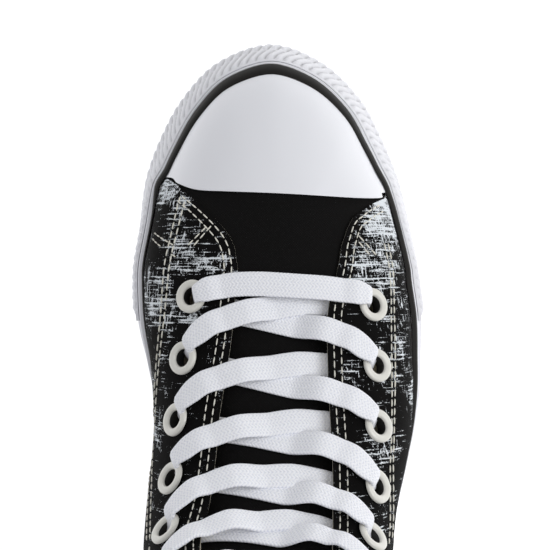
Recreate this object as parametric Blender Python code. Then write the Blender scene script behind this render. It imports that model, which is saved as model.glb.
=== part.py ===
"""A right-foot high-top canvas sneaker, built from its separate pieces.

The toe points along +Y, the lateral side along +X and +Z is up. The origin is the
middle of the heel's resting face on the ground. All sizes are metres.
"""
import math

import bmesh
import bpy
import numpy as np
from mathutils import Vector

# Driving dimensions of the shoe
LENGTH = 0.272
HEEL_BACK = 0.034
BALL_WIDTH = 0.100
HEEL_WIDTH = 0.068
INSTEP_HEIGHT = 0.080
SHAFT_HEIGHT = 0.152
TOE_SPRING = 0.009
ARCH_LIFT = 0.0012

# Walls and clearances
CLEARANCE = 0.0003
UPPER_WALL = 0.0016
OVERLAY_STEP = 0.0012
CAP_WALL = 0.0011
FOXING_WALL = 0.0028
FOXING_TOE_WALL = 0.0020
BUMPER_WALL = 0.0042
BUMPER_END_WALL = 0.0006
STRIPE_TOE_WALL = 0.0016
STRIPE_LATERAL_WALL = 0.0018
STRIPE_MEDIAL_WALL = 0.0007
INSOLE_THICKNESS = 0.0040
TONGUE_THICKNESS = 0.0020
LACE_WIDTH = 0.0080
LACE_THICKNESS = 0.0014

# Heights of the sole
FOREFOOT_THICKNESS = 0.0120
HEEL_THICKNESS = 0.0190
FOXING_HEIGHT = 0.0260
FOXING_BOTTOM_GAP = 0.0008
STRIPE_TOE_HEIGHT = 0.0050
STRIPE_SIDE_HEIGHT = 0.0030
STRIPE_BLEND = 0.0300
TREAD_DEPTH = 0.0012
TREAD_GROOVE = 0.0030
TREAD_PITCH = 0.0125
STATION_GAP = 0.0020
RIB_PITCH = 0.0052
RIB_DEPTH = 0.0007
BUMPER_THIN = 0.0005
FOXING_LINE_STEP = 0.25

# Levels of the foxing and the bumper, as shares of the foxing's height
FOXING_LEVELS = (0.0, 0.36, 0.68, 0.72, 1.0)
FOXING_LINE = 0.70
BUMPER_INNER_LEVELS = (0.0, 0.36, 0.68, 0.96)
# Levels of the bumper's outer face, with its thickness there as a share of the bumper's
BUMPER_OUTER_LEVELS = ((0.0, 1.0), (0.22, 0.95), (0.62, 0.42), (0.96, 0.12))

# Tongue, collar and lacing
TONGUE_RISE = 0.012
TONGUE_HALF_WIDTH = 0.024
TONGUE_CORNER = 0.012
EYELET_ROWS = 8
EYELET_PITCH = 0.0200
EYELET_RADIUS = 0.0055
EYELET_HOLE_RADIUS = 0.0029
EYELET_BARREL = 0.0006
EYELET_FLANGE = 0.0009
EYELET_SIDES = 8

# Places along the shoe, as shares of its length from the heel's end
TOE_POLE = 0.713
TOE_SPRING_START = 0.735
BUMPER_START = 0.650
BUMPER_LEAD = 0.10
TREAD_HEEL = (0.03, 0.26)
TREAD_FOREFOOT = (0.49, 0.735)
ARCH_START = 0.30
ARCH_END = 0.44
ARCH_EASE = 0.05
HEEL_STEP_START = 0.22
HEEL_STEP_REACH = 0.38
STRIPE_RISE_START = 0.70
STRIPE_RISE_REACH = 0.20
STRIPE_WALL_START = 0.780
STRIPE_WALL_REACH = 0.040
WIDTH_RISE_START = 0.20
WIDTH_RISE_REACH = 0.40
SPRING_POWER = 1.8

# Outline of the sole: share of the length, then the medial and lateral edge as shares
# of the width there, which runs from the heel's width to the ball's
OUTLINE = (
    (0.199, -0.479, 0.532),
    (0.272, -0.424, 0.557),
    (0.346, -0.365, 0.561),
    (0.401, -0.333, 0.559),
    (0.456, -0.318, 0.558),
    (0.515, -0.322, 0.559),
    (0.566, -0.347, 0.562),
    (0.603, -0.381, 0.567),
    (0.650, -0.418, 0.575),
    (0.713, -0.426, 0.558),
    (0.770, -0.408, 0.527),
    (0.829, -0.388, 0.488),
    (0.880, -0.340, 0.432),
    (0.931, -0.263, 0.357),
    (0.977, -0.140, 0.224),
)
TOE_APEX = 0.046

# Form of the upper: share of the length, medial and lateral belly and ridge line as
# shares of the width there, belly height as a share of the instep's, ridge height from
# the ground, 0, through the instep, 1, to the shaft, 2, and fullness of the section
FORM = (
    (0.125, -0.488, 0.488, 0.000, 0.56, 3.06, 6.0),
    (0.199, -0.494, 0.518, 0.012, 0.59, 3.01, 5.0),
    (0.272, -0.481, 0.537, 0.027, 0.63, 2.85, 3.8),
    (0.316, -0.462, 0.537, 0.035, 0.68, 2.53, 3.0),
    (0.346, -0.445, 0.528, 0.040, 0.71, 2.19, 2.6),
    (0.368, -0.433, 0.521, 0.044, 0.72, 1.90, 2.5),
    (0.390, -0.420, 0.514, 0.047, 0.72, 1.61, 2.4),
    (0.415, -0.403, 0.506, 0.051, 0.70, 1.385, 2.3),
    (0.441, -0.385, 0.504, 0.056, 0.66, 1.250, 2.25),
    (0.471, -0.364, 0.510, 0.061, 0.61, 1.145, 2.25),
    (0.507, -0.345, 0.516, 0.063, 0.56, 1.060, 2.25),
    (0.540, -0.336, 0.513, 0.065, 0.51, 0.995, 2.25),
    (0.596, -0.342, 0.506, 0.070, 0.455, 0.920, 2.25),
    (0.654, -0.362, 0.502, 0.076, 0.42, 0.858, 2.2),
    (0.713, -0.368, 0.484, 0.076, 0.39, 0.805, 2.2),
    (0.805, -0.368, 0.484, 0.076, 0.310, 0.755, 2.2),
    (0.879, -0.368, 0.484, 0.076, 0.250, 0.720, 2.25),
    (0.952, -0.368, 0.484, 0.076, 0.210, 0.680, 2.3),
    (1.000, -0.368, 0.484, 0.076, 0.190, 0.650, 2.3),
)
TOE_LEAN = 0.0010

# How far the form is drawn in beside the toe cap, from its rear corners forwards
CAP_PINCH_MEDIAL = 0.0015
CAP_PINCH_LATERAL = 0.0008
CAP_PINCH_START = 0.812
CAP_PINCH_REACH = 0.030
CAP_PINCH_END = 0.850
CAP_PINCH_FADE = 0.120

ANKLE_PINCH = 0.0075
ANKLE_SIDE = 0.60
ANKLE_SIDE_START = 0.20
ANKLE_SIDE_REACH = 0.16
ANKLE_HEIGHT = 0.62
ANKLE_REACH = 0.030

# Stations of the cross sections along the middle of the shoe
STATIONS = (
    0.125, 0.176, 0.228, 0.272, 0.301, 0.323, 0.338, 0.353, 0.368, 0.382,
    0.397, 0.413, 0.434, 0.463, 0.500, 0.544, 0.588, 0.632, 0.676, 0.713,
)
TOE_STEPS = 22
HEEL_STEPS = 10
FORM_ROWS = 9


def smoothstep(value):
    """Ease from 0 to 1."""
    value = min(max(value, 0.0), 1.0)
    return value * value * (3.0 - 2.0 * value)


def table_curve(rows, column):
    """Return a smooth function through one column of a table, against its first column."""
    knots = np.array([row[0] for row in rows])
    values = np.array([row[column] for row in rows])
    secants = np.diff(values) / np.diff(knots)
    slopes = np.concatenate(([secants[0]], 0.5 * (secants[1:] + secants[:-1]), [secants[-1]]))
    for index in range(1, len(knots) - 1):
        if secants[index - 1] * secants[index] <= 0.0:
            slopes[index] = 0.0

    def curve(place):
        place = min(max(place, knots[0]), knots[-1])
        index = min(int(np.searchsorted(knots, place, side="right")) - 1, len(knots) - 2)
        span = knots[index + 1] - knots[index]
        t = (place - knots[index]) / span
        start = (1 + 2 * t) * (1 - t) ** 2 * values[index]
        start += t * (1 - t) ** 2 * span * slopes[index]
        end = t * t * (3 - 2 * t) * values[index + 1]
        end += t * t * (t - 1) * span * slopes[index + 1]
        return float(start + end)

    return curve


def share_at(y):
    """Share of the length from the heel's end at a place along Y."""
    return (y + HEEL_BACK) / LENGTH


def y_at(share):
    """Place along Y of a share of the length."""
    return share * LENGTH - HEEL_BACK


def width_at(share):
    """The width that the tables' shares refer to, from the heel's to the ball's."""
    return HEEL_WIDTH + (BALL_WIDTH - HEEL_WIDTH) * smoothstep(
        (share - WIDTH_RISE_START) / WIDTH_RISE_REACH)


MEDIAL_BELLY = table_curve(FORM, 1)
LATERAL_BELLY = table_curve(FORM, 2)
RIDGE_LINE = table_curve(FORM, 3)
BELLY_HEIGHT = table_curve(FORM, 4)
RIDGE_LEVEL = table_curve(FORM, 5)
FULLNESS = table_curve(FORM, 6)


def spring(y):
    """How far the sole's underside is lifted at the toe."""
    start = y_at(TOE_SPRING_START)
    reach = y_at(1.0) - start
    return TOE_SPRING * max((y - start) / reach, 0.0) ** SPRING_POWER


def sole_top(y):
    """Height of the top of the outsole, thicker under the heel."""
    share = share_at(y)
    heel = 1.0 - smoothstep((share - HEEL_STEP_START) / HEEL_STEP_REACH)
    return spring(y) + FOREFOOT_THICKNESS + (HEEL_THICKNESS - FOREFOOT_THICKNESS) * heel


def foxing_top(y):
    """Height of the top edge of the foxing."""
    return spring(y) + FOXING_HEIGHT


def stripe_height(y):
    """Height of the black stripe, tallest round the toe."""
    share = smoothstep((share_at(y) - STRIPE_RISE_START) / STRIPE_RISE_REACH)
    return STRIPE_SIDE_HEIGHT + (STRIPE_TOE_HEIGHT - STRIPE_SIDE_HEIGHT) * share


def stripe_wall(x, y):
    """Thickness of the black stripe, most round the toe and least on the medial side."""
    across = smoothstep(0.5 + (x - ridge_x(y)) / STRIPE_BLEND)
    side = STRIPE_MEDIAL_WALL + (STRIPE_LATERAL_WALL - STRIPE_MEDIAL_WALL) * across
    toe = smoothstep((share_at(y) - STRIPE_WALL_START) / STRIPE_WALL_REACH)
    return side + (STRIPE_TOE_WALL - side) * toe


def bumper_wall(share):
    """Thickness of the toe bumper, thickest at the toe's tip."""
    return BUMPER_END_WALL + (BUMPER_WALL - BUMPER_END_WALL) * toe_ease(share)


def toe_ease(share):
    """Ease from the bumper's ends, 0, to the toe's tip, 1."""
    return smoothstep((share - BUMPER_START) / (1.0 - BUMPER_START))


def foxing_wall(share):
    """Thickness of the foxing at its foot, thinner behind the bumper."""
    return FOXING_WALL + (FOXING_TOE_WALL - FOXING_WALL) * toe_ease(share)


def bumper_inset(share):
    """How far the bumper sets back the foxing from the sole's outline."""
    ease = smoothstep((share - BUMPER_START) / BUMPER_LEAD + 1.0)
    return ease * (bumper_wall(share) + CLEARANCE)


def ridge_x(y):
    """The ridge line of the upper, seen from above."""
    share = share_at(y)
    return RIDGE_LINE(share) * width_at(min(share, TOE_POLE))


def roof_height(y):
    """Height of the ridge of the closed form that the upper is cut from."""
    level = RIDGE_LEVEL(share_at(y))
    above = max(level - 1.0, 0.0)
    return min(level, 1.0) * INSTEP_HEIGHT + above * (SHAFT_HEIGHT - INSTEP_HEIGHT)


def belly_height(y):
    """Height at which the upper is widest."""
    return BELLY_HEIGHT(share_at(y)) * INSTEP_HEIGHT + spring(y)


def closed_curve(points, steps=24):
    """Dense closed Catmull-Rom curve through points in plan."""
    points = np.array(points)
    before = np.roll(points, 1, axis=0)
    after = np.roll(points, -1, axis=0)
    beyond = np.roll(points, -2, axis=0)
    dense = []
    for a, b, c, d in zip(before, points, after, beyond):
        for step in range(steps):
            t = step / steps
            dense.append(0.5 * (2 * b + (c - a) * t + (2 * a - 5 * b + 4 * c - d) * t * t
                                + (3 * b - a - 3 * c + d) * t ** 3))
    return np.array(dense)


def sole_outline():
    """The sole's outline in plan, as a closed curve counter-clockwise from the lateral heel."""
    radius = 0.5 * HEEL_WIDTH
    lateral = [(row[2] * width_at(row[0]), y_at(row[0])) for row in OUTLINE]
    medial = [(row[1] * width_at(row[0]), y_at(row[0])) for row in reversed(OUTLINE)]
    heel = []
    for degrees in (180, 210, 240, 270, 300, 330, 360):
        angle = math.radians(degrees)
        heel.append((radius * math.cos(angle), HEEL_BACK * math.sin(angle)))
    apex = [(TOE_APEX * BALL_WIDTH, y_at(1.0))]
    return closed_curve(lateral + apex + medial + heel)


def inset_curve(curve, inset):
    """Move a closed curve inwards by a distance that may depend on the place along Y."""
    tangent = np.roll(curve, -1, axis=0) - np.roll(curve, 1, axis=0)
    tangent /= np.linalg.norm(tangent, axis=1)[:, None]
    inward = np.stack((-tangent[:, 1], tangent[:, 0]), axis=1)
    distance = np.array([inset(share_at(point[1])) for point in curve])
    return curve + inward * distance[:, None]


def wrap():
    """Distance from the upper's form to what is wrapped round it."""
    return max(OVERLAY_STEP, CLEARANCE + CAP_WALL) + CLEARANCE


SOLE_EDGE = sole_outline()
FOXING_EDGE = inset_curve(SOLE_EDGE, bumper_inset)
FOXING_INSIDE = inset_curve(
    SOLE_EDGE, lambda share: bumper_inset(share) + foxing_wall(share))
FORM_EDGE = inset_curve(
    SOLE_EDGE, lambda share: bumper_inset(share) + foxing_wall(share) + wrap())
INSOLE_EDGE = inset_curve(
    FORM_EDGE, lambda share: UPPER_WALL + 2.0 * CLEARANCE)


class Column:
    """A vertical half plane from the ridge line, or a pole, out to the sole's edge."""

    def __init__(self, pole, direction, toe=0.0, heel=0.0):
        self.pole = np.array(pole)
        self.direction = np.array(direction)
        self.toe = toe
        self.heel = heel

    def reach(self, curve):
        """Distance from the pole to a closed curve along the column."""
        away = curve - self.pole
        side = away[:, 0] * self.direction[1] - away[:, 1] * self.direction[0]
        along = away @ self.direction
        following = np.roll(side, -1)
        crossing = (side * following <= 0.0) & (along > 0.0) & (side != following)
        index = int(np.argmax(crossing))
        t = side[index] / (side[index] - following[index])
        return float(along[index] + t * (np.roll(along, -1)[index] - along[index]))

    def place(self, distance, height):
        """A point of the column."""
        x, y = self.pole + self.direction * distance
        return (float(x), float(y), float(height))

    def edge_y(self):
        """Place along Y of the form's edge."""
        return self.place(self.reach(FORM_EDGE), 0.0)[1]

    def belly(self):
        """Widest distance of the form from the pole."""
        foot = self.reach(FORM_EDGE)
        share = share_at(self.pole[1])
        width = width_at(min(share, TOE_POLE))
        if self.toe == 0.0 and self.heel == 0.0:
            side = LATERAL_BELLY(share) if self.direction[0] > 0 else -MEDIAL_BELLY(share)
            ridge = RIDGE_LINE(share) * (1.0 if self.direction[0] > 0 else -1.0)
            return (side - ridge) * width
        flank = self.flank_belly_share()
        return foot * flank - TOE_LEAN * self.toe - self.cap_pinch()

    def flank_belly_share(self):
        """Belly over foot distance, taken from the last cross section beside a pole."""
        start = Column(self.pole, (1.0, 0.0))
        end = Column(self.pole, (-1.0, 0.0))
        shares = []
        for column in (start, end):
            shares.append(column.belly() / column.reach(FORM_EDGE))
        across = 0.5 * (1.0 + self.direction[0])
        flank = shares[0] * across + shares[1] * (1.0 - across)
        ease = max(self.toe, self.heel * 0.5)
        return flank + (1.0 - flank) * ease

    def cap_pinch(self):
        """How far the form is drawn in beside the toe cap."""
        if self.toe <= 0.0:
            return 0.0
        share = share_at(self.edge_y())
        weight = smoothstep((share - CAP_PINCH_START) / CAP_PINCH_REACH)
        weight *= 1.0 - smoothstep((share - CAP_PINCH_END) / CAP_PINCH_FADE)
        return weight * (CAP_PINCH_LATERAL if self.direction[0] > 0.0 else CAP_PINCH_MEDIAL)

    def pinch(self, height):
        """Inward shift of the shaft round the ankle, most at the back."""
        share = share_at(self.pole[1])
        side = ANKLE_SIDE * (1.0 - smoothstep((share - ANKLE_SIDE_START) / ANKLE_SIDE_REACH))
        weight = side + (1.0 - side) * self.heel ** 2 if self.toe == 0.0 else 0.0
        offset = (height - ANKLE_HEIGHT * SHAFT_HEIGHT) / ANKLE_REACH
        return ANKLE_PINCH * weight * math.exp(-offset * offset)

    def fullness(self):
        """Exponent of the upper part of the section."""
        return FULLNESS(share_at(self.edge_y() if self.toe > 0.0 else self.pole[1]))

    def profile(self, foot_height=None, steps=48):
        """Dense curve of the form from its foot to the ridge, as distance and height."""
        foot_y = self.edge_y()
        foot = self.reach(FORM_EDGE)
        low = sole_top(foot_y) + CLEARANCE if foot_height is None else foot_height
        high = belly_height(foot_y)
        belly = self.belly()
        power = 2.0 / self.fullness()
        curve = []
        for step in range(12):
            t = step / 12
            curve.append((foot + (belly - foot) * smoothstep(t), low + (high - low) * t))
        for step in range(steps + 1):
            angle = 0.5 * math.pi * step / steps
            distance = belly * max(math.cos(angle), 0.0) ** power
            roof = roof_height(self.place(distance, 0.0)[1])
            height = high + (roof - high) * math.sin(angle) ** power
            curve.append((distance, height))
        curve[-1] = (0.0, curve[-1][1])
        return np.array([(max(r - self.pinch(z), 0.0), z) for r, z in curve])

    def at_height(self, height):
        """Distance of the form from the pole at a height beside the sole."""
        curve = self.profile()
        return float(np.interp(height, curve[:30, 1], curve[:30, 0]))


def make_columns():
    """All columns in order: lateral side, toe, medial side and heel."""
    columns = []
    for share in STATIONS:
        columns.append(Column((ridge_x(y_at(share)), y_at(share)), (1.0, 0.0)))
    pole = (ridge_x(y_at(TOE_POLE)), y_at(TOE_POLE))
    for step in range(1, TOE_STEPS):
        angle = math.pi * step / TOE_STEPS
        direction = (math.cos(angle), math.sin(angle))
        columns.append(Column(pole, direction, toe=math.sin(angle)))
    for share in reversed(STATIONS):
        columns.append(Column((ridge_x(y_at(share)), y_at(share)), (-1.0, 0.0)))
    for step in range(1, HEEL_STEPS):
        angle = math.pi + math.pi * step / HEEL_STEPS
        direction = (math.cos(angle), math.sin(angle))
        columns.append(Column((0.0, 0.0), direction, heel=-math.sin(angle)))
    return columns


COLUMNS = make_columns()
FOXING_RING = np.array([c.place(c.reach(FOXING_INSIDE), 0.0)[:2] for c in COLUMNS])
OUTSOLE_EDGE = inset_curve(FOXING_RING, lambda share: CLEARANCE)
TOE_COLUMNS = range(len(STATIONS), len(STATIONS) + TOE_STEPS - 1)


def material(name, colour, roughness, metallic=0.0):
    """A plain Principled material."""
    found = bpy.data.materials.get(name)
    if found:
        return found
    made = bpy.data.materials.new(name)
    made.use_nodes = True
    shader = made.node_tree.nodes["Principled BSDF"]
    shader.inputs["Base Color"].default_value = (*colour, 1.0)
    shader.inputs["Roughness"].default_value = roughness
    shader.inputs["Metallic"].default_value = metallic
    made.diffuse_color = (*colour, 1.0)
    return made


def add_object(name, points, faces, finish, smooth=True):
    """Make an object from points and faces, with its faces turned outwards."""
    mesh = bpy.data.meshes.new(name)
    mesh.from_pydata([Vector(point) for point in points], [], faces)
    work = bmesh.new()
    work.from_mesh(mesh)
    bmesh.ops.remove_doubles(work, verts=work.verts, dist=1e-6)
    bmesh.ops.dissolve_degenerate(work, edges=work.edges, dist=1e-6)
    bmesh.ops.recalc_face_normals(work, faces=work.faces)
    work.to_mesh(mesh)
    work.free()
    made = bpy.data.objects.new(name, mesh)
    bpy.context.scene.collection.objects.link(made)
    if finish:
        mesh.materials.append(finish)
    if smooth:
        mesh.shade_smooth()
        mesh.set_sharp_from_angle(angle=math.radians(40))
    return made


def weld(grid, closed):
    """Index the points of a grid of columns, sharing the points that coincide.

    All grids of the form use the same diagonals, so that their skins stay parallel.
    """
    index = {}
    points = []
    table = []
    for column in grid:
        row = []
        for point in column:
            key = tuple(round(value, 6) for value in point)
            if key not in index:
                index[key] = len(points)
                points.append(point)
            row.append(index[key])
        table.append(row)
    faces = []
    count = len(table)
    for i in range(count if closed else count - 1):
        here, there = table[i], table[(i + 1) % count]
        for j in range(len(here) - 1):
            near, far = [here[j], there[j], there[j + 1]], [here[j], there[j + 1], here[j + 1]]
            for corners in (near, far):
                if len(set(corners)) == 3:
                    faces.append(corners)
    return np.array(points), faces, table


def surface_normals(points, faces):
    """Normals at the points, averaged over the faces by area."""
    normals = np.zeros_like(points)
    for face in faces:
        corners = points[face]
        following = np.roll(corners, -1, axis=0)
        area = np.cross(corners, following).sum(axis=0)
        for corner in face:
            normals[corner] += area
    return normals / np.linalg.norm(normals, axis=1)[:, None]


def thicken(name, grid, closed, inner, outer, finish, flat_rows=()):
    """Closed solid between two offsets of a grid surface.

    The offsets are distances or functions of a point. The normals of the rows in
    flat_rows are kept level, so that the edge there stays flat.
    """
    points, faces, table = weld(grid, closed)
    normals = surface_normals(points, faces)
    for row in table:
        for j in flat_rows:
            normals[row[j]][2] = 0.0
            normals[row[j]] /= np.linalg.norm(normals[row[j]])
    inside = np.array((0.0, y_at(0.3), FOREFOOT_THICKNESS))
    if np.sum((points - inside) * normals) < 0.0:
        normals = -normals
    offsets = []
    for amount in (outer, inner):
        values = [amount(point) if callable(amount) else amount for point in points]
        offsets.append(points + normals * np.array(values)[:, None])
    count = len(points)
    solid = list(offsets[0]) + list(offsets[1])
    skins = list(faces) + [[corner + count for corner in reversed(face)] for face in faces]
    edges = {}
    for face in faces:
        for a, b in zip(face, face[1:] + face[:1]):
            edges[(a, b)] = edges.get((a, b), 0) + 1
    for a, b in list(edges):
        if (b, a) not in edges:
            skins.append([b, a, a + count, b + count])
    return add_object(name, solid, skins, finish)


def ring_solid(name, rings, closed, finish):
    """Closed solid from columns that are each a closed loop of points."""
    points = []
    faces = []
    size = len(rings[0])
    for ring in rings:
        points.extend(ring)
    count = len(rings)
    for i in range(count if closed else count - 1):
        here, there = i * size, ((i + 1) % count) * size
        for j in range(size):
            k = (j + 1) % size
            faces.append([here + j, there + j, here + k])
            faces.append([there + j, there + k, here + k])
    if not closed:
        faces.append(list(range(size)))
        faces.append([(count - 1) * size + j for j in reversed(range(size))])
    return add_object(name, points, faces, finish)


def form_grid(columns, rows, foot_drop=0.0):
    """Grid of the form's points, from the foot of each column to the ridge.

    The second row lies level with the top edge of the foxing.
    """
    grid = []
    for column in columns:
        curve = column.profile()
        steps = np.linalg.norm(np.diff(curve, axis=0), axis=1)
        along = np.concatenate(([0.0], np.cumsum(steps)))
        first = np.interp(foxing_top(column.edge_y()), curve[:40, 1], along[:40])
        lengths = [0.0] + [first + (along[-1] - first) * j / rows for j in range(rows + 1)]
        points = [column.place(np.interp(s, along, curve[:, 0]), np.interp(s, along, curve[:, 1]))
                  for s in lengths]
        if foot_drop:
            r, z = curve[0]
            points.insert(0, column.place(r, z - foot_drop))
        grid.append(points)
    return grid


def form_height(x, y):
    """Height of the form's surface above a place beside the ridge line."""
    share = share_at(y)
    width = width_at(min(share, TOE_POLE))
    ridge = RIDGE_LINE(share)
    side = LATERAL_BELLY(share) - ridge if x > ridge * width else ridge - MEDIAL_BELLY(share)
    ratio = min(abs(x - ridge * width) / (side * width), 1.0)
    power = FULLNESS(share)
    high = belly_height(y)
    return high + (roof_height(y) - high) * (1.0 - ratio ** power) ** (1.0 / power)


def cutter(name, points, faces):
    """A hidden solid that other solids are cut with."""
    made = add_object(name, points, faces, None, smooth=False)
    made.hide_render = True
    made.display_type = "WIRE"
    return made


def prism(name, outline, low, high, axis=2):
    """Extrude a closed outline along an axis, as a cutter."""
    points = []
    for level in (low, high):
        for a, b in outline:
            point = [a, b]
            point.insert(axis, level)
            points.append(point)
    count = len(outline)
    faces = [list(range(count)), list(reversed(range(count, 2 * count)))]
    for i in range(count):
        j = (i + 1) % count
        faces.append([i, j, j + count, i + count])
    return cutter(name, points, faces)


def boolean(target, tool, operation="DIFFERENCE"):
    """Apply a Boolean with a cutter, then remove the cutter."""
    modifier = target.modifiers.new(tool.name, "BOOLEAN")
    modifier.operation = operation
    modifier.solver = "EXACT"
    modifier.object = tool
    bpy.context.view_layer.update()
    evaluated = target.evaluated_get(bpy.context.evaluated_depsgraph_get())
    mesh = bpy.data.meshes.new_from_object(evaluated)
    target.modifiers.clear()
    target.data = mesh
    bpy.data.objects.remove(tool)


# Rear edge of the toe cap: shares of the ball width and of the length
CAP_EDGE = (
    (-0.450, 0.831), (-0.299, 0.828), (-0.262, 0.819), (-0.197, 0.810), (-0.099, 0.807),
    (0.076, 0.804), (0.241, 0.801), (0.344, 0.800), (0.415, 0.802), (0.432, 0.8095),
    (0.620, 0.813),
)
CAP_MARGIN = 0.0025

# Front and throat edges of the two quarters: shares of the ball width and of the length
MEDIAL_EDGE = (
    (-0.249, 0.811), (-0.197, 0.796), (-0.149, 0.780), (-0.115, 0.767), (-0.089, 0.755),
    (-0.072, 0.742), (-0.065, 0.730), (-0.059, 0.713), (-0.068, 0.678), (-0.079, 0.630),
    (-0.100, 0.578), (-0.115, 0.540), (-0.122, 0.504), (-0.140, 0.450), (-0.162, 0.417),
    (-0.155, 0.390), (-0.145, 0.345), (-0.140, 0.300),
)
LATERAL_EDGE = (
    (0.426, 0.8015), (0.379, 0.793), (0.344, 0.784), (0.317, 0.777), (0.300, 0.767),
    (0.285, 0.753), (0.273, 0.740), (0.266, 0.723), (0.256, 0.707), (0.228, 0.663),
    (0.227, 0.595), (0.231, 0.552), (0.238, 0.489), (0.235, 0.437), (0.232, 0.417),
    (0.225, 0.390), (0.210, 0.345), (0.200, 0.300),
)
VAMP_REAR = 0.688
VAMP_STATIONS = 5

# Lines of the eyelets: share of the length, then the medial and lateral place
# between the ridge and the belly
EYELET_LINE = (
    (0.310, 0.640, 0.630),
    (0.346, 0.700, 0.690),
    (0.364, 0.745, 0.730),
    (0.386, 0.773, 0.750),
    (0.414, 0.785, 0.772),
    (0.471, 0.791, 0.758),
    (0.537, 0.780, 0.713),
    (0.607, 0.709, 0.701),
    (0.680, 0.627, 0.688),
    (0.720, 0.600, 0.670),
)
EYELET_START = {-1: 0.681, 1: 0.671}
MEDIAL_LINE = table_curve(EYELET_LINE, 1)
LATERAL_LINE = table_curve(EYELET_LINE, 2)

# Laces in plan: share of the way across, then how far the upper strand of a crossing,
# its lower strand and the bar have moved on from their row, in rows
LACE_PATHS = (
    (0.00, 0.080, 0.030, -0.060),
    (0.12, 0.070, 0.120, -0.170),
    (0.25, 0.045, 0.220, -0.220),
    (0.38, 0.060, 0.305, -0.210),
    (0.50, 0.120, 0.380, -0.180),
    (0.60, 0.195, 0.435, -0.155),
    (0.70, 0.285, 0.490, -0.135),
    (0.78, 0.375, 0.555, -0.115),
    (0.85, 0.480, 0.645, -0.090),
    (0.92, 0.660, 0.800, -0.055),
    (1.00, 0.930, 0.970, -0.020),
)
UPPER_STRAND = table_curve(LACE_PATHS, 1)
LOWER_STRAND = table_curve(LACE_PATHS, 2)
BAR_STRAND = table_curve(LACE_PATHS, 3)

# Where a strand comes out from under a quarter, where the upper strand of a crossing
# climbs on the lower one, and where each climbs on the other quarter
LACE_START = 0.12
LACE_CROSSING_CLIMB = (0.28, 0.42)
UPPER_STRAND_CLIMB = (0.52, 0.70)
LOWER_STRAND_CLIMB = (0.56, 0.74)
LACE_STEPS = 9
LACE_CLEARANCE = 0.0006
LACE_CROSSING_LIFT = 0.80
LACE_SEAT_START = 0.79
BAR_SEAT_START = 0.32
LACE_SEAT_REACH = 0.08
LACE_SEARCH = (-0.012, 0.030)

# Stations and cross shares of the tongue
TONGUE_STATIONS = (
    0.712, 0.700, 0.688, 0.660, 0.620, 0.580, 0.540, 0.500, 0.470,
    0.445, 0.425, 0.410, 0.398, 0.388, 0.378, 0.368, 0.358, 0.348, 0.338, 0.326,
)
TONGUE_SHARES = (-1.0, -0.72, -0.4, 0.0, 0.4, 0.72, 1.0)
TONGUE_SEWN_REACH = 0.04
TONGUE_SPREAD = 2.2
TONGUE_CORNER_SET = 0.002

# Collar line: share of the length and drop below the top of the shaft
COLLAR_LINE = ((0.55, 0.0), (0.34, 0.0), (0.25, 0.0045), (0.14, 0.0060), (-0.05, 0.0045))


def plan(points):
    """Points in plan from shares of the ball width and of the length."""
    return [(x * BALL_WIDTH, y_at(share)) for x, share in points]


def surface_point(x, y, offset=0.0):
    """A point off the form's upper side, with the normal there."""
    step = 0.0004
    slope_x = (form_height(x + step, y) - form_height(x - step, y)) / (2.0 * step)
    slope_y = (form_height(x, y + step) - form_height(x, y - step)) / (2.0 * step)
    normal = Vector((-slope_x, -slope_y, 1.0)).normalized()
    return Vector((x, y, form_height(x, y))) + normal * offset, normal


def eyelet_track(side):
    """Dense line of the eyelets on the form, with its length from the first eyelet."""
    points = []
    for step in range(401):
        share = 0.720 - (0.720 - 0.310) * step / 400
        ridge = RIDGE_LINE(share)
        if side < 0:
            x = ridge - MEDIAL_LINE(share) * (ridge - MEDIAL_BELLY(share))
        else:
            x = ridge + LATERAL_LINE(share) * (LATERAL_BELLY(share) - ridge)
        y = y_at(share)
        points.append((x * width_at(min(share, TOE_POLE)), y))
    points = [(x, y, form_height(x, y)) for x, y in points]
    points = np.array(points)
    steps = np.linalg.norm(np.diff(points, axis=0), axis=1)
    along = np.concatenate(([0.0], np.cumsum(steps)))
    start = np.interp(-y_at(EYELET_START[side]), -points[:, 1], along)
    return along - start, points


EYELET_TRACKS = {side: eyelet_track(side) for side in (-1, 1)}


def eyelet_place(side, row):
    """A point of an eyelet line at a row number, which may lie between two rows."""
    along, points = EYELET_TRACKS[side]
    distance = (row - 1.0) * EYELET_PITCH
    return Vector([float(np.interp(distance, along, points[:, axis])) for axis in range(3)])


def across_row(row, share):
    """Place in plan on the line over the instep between the two eyelets of a row.

    The share runs from the medial eyelet, 0, to the lateral one, 1.
    """
    medial, lateral = eyelet_place(-1, row), eyelet_place(1, row)
    ahead = eyelet_place(-1, row - 0.2) + eyelet_place(1, row - 0.2)
    behind = eyelet_place(-1, row + 0.2) + eyelet_place(1, row + 0.2)
    direction = (ahead - behind).normalized()
    middle = (medial + lateral) * 0.5
    x = medial.x + (lateral.x - medial.x) * share
    low, high = middle.y + LACE_SEARCH[0], middle.y + LACE_SEARCH[1]
    for _ in range(40):
        y = 0.5 * (low + high)
        offset = Vector((x, y, form_height(x, y))) - middle
        if offset.dot(direction) > 0.0:
            high = y
        else:
            low = y
    return x, 0.5 * (low + high)


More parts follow.
